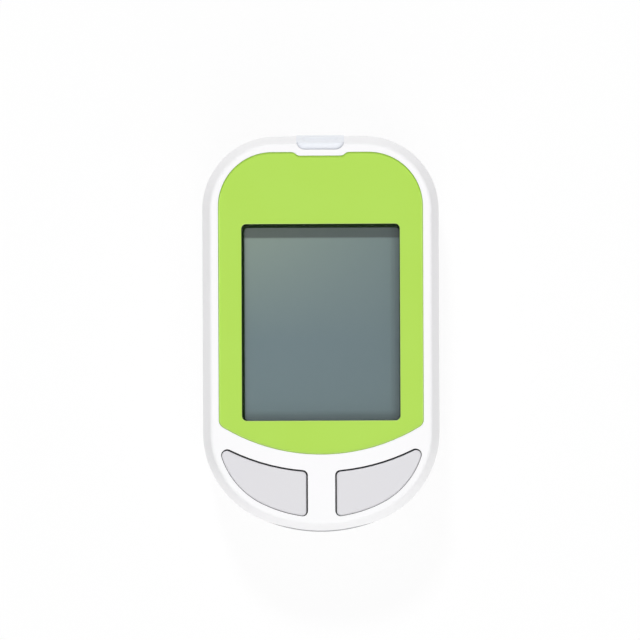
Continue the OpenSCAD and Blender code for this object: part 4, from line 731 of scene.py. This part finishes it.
def rear_cover():
    """The lower shell with its tongue, battery compartment, screw posts, recesses and sound holes."""
    outer = [(BACK_LEAN + BACK_EDGE_R * (1 - cosd(a)), BACK_Z + BACK_EDGE_R * (1 - sind(a)))
             for a in range(90, -1, -6)]
    cover = loft(BODY_ARCS, outer + [(0, SPLIT_Z - GROOVE), (GROOVE, SPLIT_Z)])
    inner_r = BACK_EDGE_R - SIDE_WALL
    inner = [(SIDE_WALL + BACK_LEAN + inner_r * (1 - cosd(a)), FLOOR_Z + inner_r * (1 - sind(a)))
             for a in range(90, -1, -10)]
    cut(cover, loft(BODY_ARCS, inner + [(SIDE_WALL, SPLIT_Z), (SIDE_WALL, SPLIT_Z + OVER)]))
    tongue_out = SIDE_WALL + SIDE_LEAN * TONGUE_H / LEAN_H + FIT
    tongue = slab(BODY_ARCS, SPLIT_Z - TONGUE_ROOT, SPLIT_Z, SIDE_WALL - SUNK)
    join(tongue, slab(BODY_ARCS, SPLIT_Z - OVER, SPLIT_Z + TONGUE_H, tongue_out))
    tongue_in = tongue_out + TONGUE_T
    cut(tongue, slab(BODY_ARCS, SPLIT_Z - TONGUE_ROOT - OVER, SPLIT_Z + TONGUE_H + OVER, tongue_in))
    flange_half, flange_y1 = PORT_HALF + PORT_FLANGE_W, HALF_L - SIDE_WALL - INNER_LEAN - FIT
    cut(tongue, block((-flange_half - FIT, flange_y1 - PORT_FLANGE_T - OVER, SPLIT_Z),
                      (flange_half + FIT, HALF_L, SPLIT_Z + TONGUE_H + OVER)))
    frame_low, frame_top = FLOOR_Z - SUNK, DOOR_SEAT + FRAME_T
    hook_edge = HOOK_X + HOOK_HALF + FRAME_W
    hook_end, hook_high = PIVOT_Y + HOOK_REACH + HOOK_GAP, PIVOT_Z + HOOK_SWEEP
    join(cover, tongue,
         block((-TUB_OUTER, TUB_Y0 - TUB_WALL, frame_low), (TUB_OUTER, TUB_Y1 + TUB_WALL, TUB_TOP)),
         slab(DOOR_ARCS, frame_low, frame_top, -DOOR_GAP - FRAME_W),
         block((-hook_edge, TUB_Y1, frame_low), (hook_edge, hook_end + HOOK_ROOF_T, hook_high + HOOK_ROOF_T)),
         block((-LATCH_HALF - FRAME_W, LATCH_Y - NAIL_GAP - FRAME_W, frame_low),
               (LATCH_HALF + FRAME_W, DOOR_Y0, frame_top)))
    join(cover, *[post(p, POST_R, FLOOR_Z - SUNK, SPLIT_Z - FIT / 2) for p in SCREWS + [BASE_SCREW]])
    cut(cover,
        block((-TUB_HALF, TUB_Y0, BACK_Z - OVER), (TUB_HALF, TUB_Y1, TUB_ROOF_Z)),
        hole_down(DOOR_ARCS, BACK_Z, DOOR_SEAT, inset=-DOOR_GAP),
        block((-LATCH_HALF - LATCH_GAP, LATCH_Y - NAIL_GAP, BACK_Z - OVER),
              (LATCH_HALF + LATCH_GAP, DOOR_Y0 + OVER, DOOR_SEAT)),
        block((-NIB_HALF - NIB_GAP, NIB_Y - NIB_GAP, DOOR_SEAT - FIT),
              (NIB_HALF + NIB_GAP, NIB_Y + NIB_L + NIB_GAP, DOOR_TOP + NIB_H + NIB_GAP)))
    cut(cover, *[block((s * HOOK_X - HOOK_HALF - HOOK_GAP, TUB_Y1 + TUB_WALL, DOOR_SEAT - FIT),
                       (s * HOOK_X + HOOK_HALF + HOOK_GAP, hook_end, hook_high)) for s in SIDES])
    tail_room = TAIL_HALF + TAIL_GAP
    cut(cover, *[block((s * CELL_X - tail_room, TUB_Y1 - CONTACT_T - TAIL_GAP, TUB_ROOF_Z - OVER),
                       (s * CELL_X + tail_room, TUB_Y1 + TAIL_GAP, TUB_TOP + OVER)) for s in SIDES])
    for p in SCREWS + [BASE_SCREW]:
        cut(cover, hole_down(circle(*p, HEAD_R + PASS_GAP), BACK_Z, SEAT_Z),
            post(p, SHANK_R + PASS_GAP, BACK_Z, SPLIT_Z + OVER))
    cut(cover, *[hole_down(circle(*p, FOOT_R + FIT), BACK_Z, BACK_Z + FOOT_SEAT, HOLE_RIM) for p in FEET])
    cut(cover, hole_down(LABEL_ARCS, BACK_Z, BACK_Z + LABEL_GAP + LABEL_T, FINE_RIM, -FIT))
    holes = [(-SIDE_X, BUZZER_Y)]
    for a in range(0, 360, 60):
        holes.append((-SIDE_X + SOUND_RING_R * cosd(a), BUZZER_Y + SOUND_RING_R * sind(a)))
    cut(cover, *[hole_down(circle(*p, SOUND_HOLE_R), BACK_Z, FLOOR_Z + OVER, HOLE_RIM) for p in holes])

    # The groove's lower chamfer gets painted shade, a dark line along the parting line
    def seam_shade(at, up):
        return SPLIT_Z - GROOVE < at.z < SPLIT_Z and SEAM_SHADE_LOW < up.z < SEAM_SHADE_HIGH

    return piece(cover, "rear_cover_shell", "case", WHITE, ["rear_cover"], second=SEAM_SHADE, where=seam_shade)


def battery_door():
    """The panel with its round hinge end, two hooks, the latch tab in its slots and the grip grooves."""
    door = rounded_down(DOOR_ARCS, BACK_Z, DOOR_TOP, RIM)
    # The round end is a hair slimmer than the panel and starts a hair inside it, so no faces touch edge on
    cut(door, block((-DOOR_HALF - OVER, PIVOT_Y + 5 * TOUCH, BACK_Z - OVER),
                    (DOOR_HALF + OVER, DOOR_Y1 + OVER, DOOR_TOP + OVER)))
    join(door, rod((TOUCH - DOOR_HALF, PIVOT_Y, PIVOT_Z), DOOR_T / 2 - TOUCH, 2 * (DOOR_HALF - TOUCH)))
    for s in SIDES:
        join(door, block((s * HOOK_X - HOOK_HALF, PIVOT_Y - HOOK_ROOT, PIVOT_Z),
                         (s * HOOK_X + HOOK_HALF, PIVOT_Y, HOOK_TOP)),
             block((s * HOOK_X - HOOK_HALF, PIVOT_Y - HOOK_ROOT, HOOK_Z),
                   (s * HOOK_X + HOOK_HALF, PIVOT_Y + HOOK_REACH, HOOK_TOP)))
    slots_half, slots_y1 = LATCH_HALF + LATCH_SLOT_W, DOOR_Y0 + LATCH_SLOT_L
    slots = box_arcs(-slots_half, slots_half, DOOR_Y0 - OVER, slots_y1, LATCH_SLOT_W / 2, LATCH_SLOT_W / 2)
    cut(door, hole_down(slots, BACK_Z, DOOR_TOP + OVER))
    latch = box_arcs(-LATCH_HALF, LATCH_HALF, LATCH_Y, slots_y1 + OVER, TONGUE_R, TONGUE_R)
    join(door, rounded_down(latch, BACK_Z, DOOR_TOP, RIM),
         block((-NIB_HALF, NIB_Y, DOOR_TOP - SUNK), (NIB_HALF, NIB_Y + NIB_L, DOOR_TOP + NIB_H)))
    for k in range(GRIP_COUNT):
        y = GRIP_Y + k * GRIP_PITCH
        groove = box_arcs(-GRIP_HALF, GRIP_HALF, y, y + GRIP, GRIP / 2 - TOUCH, GRIP / 2 - TOUCH)
        cut(door, hole_down(groove, BACK_Z, BACK_Z + GRIP, HOLE_RIM))
    return piece(door, "battery_door_panel", "battery_door", WHITE, ["battery_door"])


def faceplate():
    """Pressed into its recess; its rounded edges get a painted highlight, except at the strip end."""
    plate = rounded_up(PLATE_ARCS, PLATE_Z, PLATE_TOP, PLATE_EDGE_RUN, TOUCH - FIT, PLATE_EDGE_RISE)
    cut(plate, hole_up(WINDOW_ARCS, PLATE_Z - OVER, PLATE_TOP, WINDOW_RIM))

    def lit_edge(at, up):
        near_x, near_y0, near_y1 = WINDOW_HALF + WINDOW_NEAR, WINDOW_Y0 - WINDOW_NEAR, WINDOW_Y1 + WINDOW_NEAR
        at_window = abs(at.x) < near_x and near_y0 < at.y < near_y1
        return HIGHLIGHT_LOW < up.z < HIGHLIGHT_HIGH and (at_window or up.y < EDGE_LEAN)

    return piece(plate, "faceplate_panel", "case", GREEN, ["faceplate"], second=GREEN_EDGE_HIGHLIGHT, where=lit_edge)


def display_gasket():
    """The dark foam frame, which shows most along the head and the left of the window, where it stands in for
    the shade of the window's walls.
    """
    frame_ring = slab(WINDOW_ARCS, DISPLAY_TOP, LEDGE_Z, -LENS_LAP)
    opening = box_arcs(GASKET_SHADE_LEFT - WINDOW_HALF, WINDOW_HALF - GASKET_SHADE_RIGHT,
                       WINDOW_Y0 + GASKET_SHADE_BASE, WINDOW_Y1 - GASKET_SHADE_TOP, GASKET_R, GASKET_R)
    cut(frame_ring, hole_up(opening, DISPLAY_TOP - OVER, LEDGE_Z, HOLE_RIM))
    return piece(frame_ring, "display_gasket_foam", "case", FOAM_AND_SHADE, ["display_gasket"])


def display_lens():
    """The clear pane, which reaches under the plate on each side."""
    lens = rounded_up(WINDOW_ARCS, LENS_Z, PLATE_Z, HOLE_RIM, -LENS_LAP)
    return piece(lens, "display_lens_pane", "case", CLEAR, ["display_lens"])


def button(name, arcs, side, node):
    """A hollow cap with a rounded edge, its flange under the cover and the nub over its switch; its sides get
    painted shade.

    side is -1 for the left and 1 for the right button, which sits a little off its opening's middle.
    """
    arcs = shifted(arcs, side * BUTTON_SHIFT, -BUTTON_SHIFT)
    body = shifted(BODY_ARCS, side * BUTTON_SHIFT, -BUTTON_SHIFT)
    flange_top = ROOF_Z - FIT
    flange_low = flange_top - FLANGE_T + TOUCH
    flange = slab(arcs, flange_low, flange_top, -FLANGE_LAP)
    flange_margin = SIDE_WALL + INNER_LEAN + INNER_R + 2 * BUTTON_SHIFT
    common(flange, slab(body, flange_low - OVER, flange_top + OVER, flange_margin))
    cap = rounded_up(arcs, flange_low, BUTTON_TOP, BUTTON_EDGE, BUTTON_GAP, CAP_EDGE_RISE, WIDE_ROUND_STEPS)
    join(cap, flange)
    roof = BUTTON_TOP - BUTTON_FACE
    cut(cap, slab(arcs, flange_low - OVER, roof, BUTTON_GAP + BUTTON_SKIRT))
    join(cap, post((side * SWITCH_X, SWITCH_Y), NUB_R, PLUNGER_TOP, roof + SUNK))

    # The cap's sides below its rounded edge get painted shade, where the gap around the cap is in shade
    def skirt(at, up):
        return at.z < BUTTON_TOP - CAP_EDGE_RISE

    return piece(cap, name, node, GREY, [node], second=BUTTON_GAP_SHADE, where=skirt)


def strip_port():
    """The pillowed insert at the strip end, with the strip slot and its lead-in in the end face."""
    port_top = TOP_Z - PILLOW_SUNK
    pillow = box_arcs(-PORT_HALF, PORT_HALF, PORT_Y, HALF_L + 4 * OVER, PORT_CORNER_R, PORT_CORNER_R)
    insert = rounded_up(pillow, SPLIT_Z + FIT, port_top, PILLOW_RUN, TOUCH - FIT, PILLOW_DROP,
                        WIDE_ROUND_STEPS)
    shell = [(inset - PORT_PROUD, z) for inset, z in front_profile(port_top)]
    common(insert, loft(BODY_ARCS, shell))
    neck_half, flange_half = PORT_HALF - PORT_CORNER_R, PORT_HALF + PORT_FLANGE_W
    flange_y1, flange_top = HALF_L - SIDE_WALL - INNER_LEAN - FIT, ROOF_Z - INNER_R - FIT
    flange_y0 = flange_y1 - PORT_FLANGE_T
    join(insert, block((-neck_half, flange_y1 - SUNK, SPLIT_Z + FIT), (neck_half, PORT_Y + SUNK, flange_top)),
         block((-flange_half, flange_y0, SPLIT_Z + FIT), (flange_half, flange_y1, flange_top)))
    face_y = HALF_L + PORT_PROUD - SIDE_LEAN * (STRIP_Z - SPLIT_Z) / LEAN_H
    inner = face_y - flange_y1 + PORT_FLANGE_T + OVER
    mouth = loft(box_arcs(-SLOT_W / 2, SLOT_W / 2, -SLOT_H / 2, SLOT_H / 2, SLOT_R, SLOT_R),
                 [(0, -inner), (0, -SLOT_LEAD), (-SLOT_LEAD, 0), (-SLOT_LEAD - OVER, OVER)])
    turn = Matrix.Rotation(math.radians(-90), 4, "X")
    mouth.data.transform(Matrix.Translation(Vector((0, face_y, STRIP_Z)) * MM) @ turn)
    cut(insert, mouth)
    return piece(insert, "strip_port_insert", "case", PORT_GREY, ["strip_port"])


def rubber_feet():
    """Four round feet, pressed into their seats."""
    first, *rest = [rounded_down(circle(*p, FOOT_R), 0, BACK_Z + FOOT_SEAT, FOOT_RIM) for p in FEET]
    feet = join(first, *rest)
    return piece(feet, "rubber_feet_pads", "case", RUBBER, ["rubber_feet"])


# ---- Camera, light and floor ----
# The picture's size, its scale, and the object's centre in it, in pixels from its left and upper edges
PICTURE = 640
PIXEL = 0.24508
CENTRE_X, CENTRE_Y = 320.93, 334.06
ROLL = 0.0041
CAMERA_FAR, FOCUS_Z = 5000.0, 15.5
SENSOR = 36.0
# Half the width of the band, as a share of the way to the zenith, in which the world's light fades out
HORIZON = 0.05
# The floor's half width in millimetres, and how white its paper is
FLOOR_REACH, PAPER_WHITE = 4000.0, 0.95


def camera():
    """Looks straight down from far off, turned by the photograph's small roll."""
    data = bpy.data.cameras.new("camera")
    data.sensor_width = SENSOR
    data.lens = SENSOR * (CAMERA_FAR - FOCUS_Z) / (PICTURE * PIXEL)
    data.clip_start, data.clip_end = 0.1, 10.0
    obj = bpy.data.objects.new("camera", data)
    bpy.context.scene.collection.objects.link(obj)
    right, up = (PICTURE / 2 - CENTRE_X) * PIXEL, (CENTRE_Y - PICTURE / 2) * PIXEL
    obj.location = Matrix.Rotation(-ROLL, 4, "Z") @ Vector((right, up, CAMERA_FAR)) * MM
    obj.rotation_euler = (0, 0, -ROLL)
    bpy.context.scene.camera = obj


def sun(name, azimuth, elevation, level, width):
    """A distant lamp, width degrees wide; level is the share of white that it gives a surface facing it."""
    data = bpy.data.lights.new(name, "SUN")
    data.energy = level * math.pi
    data.angle = math.radians(width)
    obj = bpy.data.objects.new(name, data)
    bpy.context.scene.collection.objects.link(obj)
    away = Vector((sind(azimuth) * cosd(elevation), cosd(azimuth) * cosd(elevation), sind(elevation)))
    obj.rotation_mode = "QUATERNION"
    obj.rotation_quaternion = away.to_track_quat("Z", "Y")


def seen(tree, path):
    """1 for rays that show the surface: from the camera, a mirror or through glass."""
    total = path.outputs["Is Camera Ray"]
    for name in ("Is Glossy Ray", "Is Transmission Ray"):
        plus = add(tree, "Math", operation="ADD", use_clamp=True)
        tree.links.new(total, plus.inputs[0])
        tree.links.new(path.outputs[name], plus.inputs[1])
        total = plus.outputs[0]
    return total


def world(level):
    """Even light from above the horizon, and a white backdrop."""
    scene_world = bpy.data.worlds.new("studio")
    bpy.context.scene.world = scene_world
    scene_world.use_nodes = True
    tree = scene_world.node_tree
    tree.nodes.clear()
    out = add(tree, "OutputWorld")
    light, backdrop = add(tree, "Background"), add(tree, "Background", Strength=1.0)
    mix = add(tree, "MixShader")
    for node in (light, backdrop):
        node.inputs["Color"].default_value = (1, 1, 1, 1)
    place, split = add(tree, "TexCoord"), add(tree, "SeparateXYZ")
    tree.links.new(place.outputs["Generated"], split.inputs[0])
    tree.links.new(spread(tree, split.outputs["Z"], 0.0, level, -HORIZON, HORIZON), light.inputs["Strength"])
    tree.links.new(seen(tree, add(tree, "LightPath")), mix.inputs[0])
    tree.links.new(light.outputs[0], mix.inputs[1])
    tree.links.new(backdrop.outputs[0], mix.inputs[2])
    tree.links.new(mix.outputs[0], out.inputs["Surface"])


def floor(shadow, bounce):
    """A white floor that keeps a share of the object's shadow and sends back a share of the light.

    From below it is clear, so that the back of the object is seen and lit.
    """
    corners = [(x * FLOOR_REACH, y * FLOOR_REACH, 0) for x, y in ((-1, -1), (1, -1), (1, 1), (-1, 1))]
    obj = make_object("floor", corners, [(0, 1, 2, 3)])
    material, tree = node_tree("floor_white")
    path, out = add(tree, "LightPath"), add(tree, "OutputMaterial")
    paper, glow, show = add(tree, "BsdfDiffuse"), add(tree, "Emission", Strength=1.0), add(tree, "MixShader")
    tint = add(tree, "Mix", data_type="RGBA")
    tint.inputs[6].default_value = (PAPER_WHITE, PAPER_WHITE, PAPER_WHITE, 1)
    tint.inputs[7].default_value = (bounce, bounce, bounce, 1)
    tree.links.new(path.outputs["Is Diffuse Ray"], tint.inputs[0])
    tree.links.new(tint.outputs[2], paper.inputs["Color"])
    glow.inputs["Color"].default_value = (1, 1, 1, 1)
    share = add(tree, "Math", operation="MULTIPLY")
    share.inputs[1].default_value = 1 - shadow
    tree.links.new(seen(tree, path), share.inputs[0])
    tree.links.new(share.outputs[0], show.inputs[0])
    tree.links.new(paper.outputs[0], show.inputs[1])
    tree.links.new(glow.outputs[0], show.inputs[2])
    below, clear, side = add(tree, "NewGeometry"), add(tree, "BsdfTransparent"), add(tree, "MixShader")
    either = add(tree, "Math", operation="MAXIMUM")
    tree.links.new(below.outputs["Backfacing"], either.inputs[0])
    tree.links.new(path.outputs["Is Shadow Ray"], either.inputs[1])
    tree.links.new(either.outputs[0], side.inputs[0])
    tree.links.new(show.outputs[0], side.inputs[1])
    tree.links.new(clear.outputs[0], side.inputs[2])
    tree.links.new(side.outputs[0], out.inputs["Surface"])
    obj.data.materials.append(material)


# ---- The scene ----
camera()
world(0.42)
sun("key_light", -10, 38, 0.3, 8)
sun("overhead_light", 0, 90, 0.24, 70)
sun("fill_light", 170, 32, 0.33, 60)
sun("under_light", 200, -75, 0.3, 40)
floor(0.15, 0.88)
dress_cad_nodes()
front_cover()
rear_cover()
battery_door()
faceplate()
display_lens()
display_gasket()
button("left_button_cap", mirrored(BUTTON_ARCS), -1, "left_button")
button("right_button_cap", BUTTON_ARCS, 1, "right_button")
strip_port()
rubber_feet()
bpy.context.scene.view_settings.view_transform = "Standard"
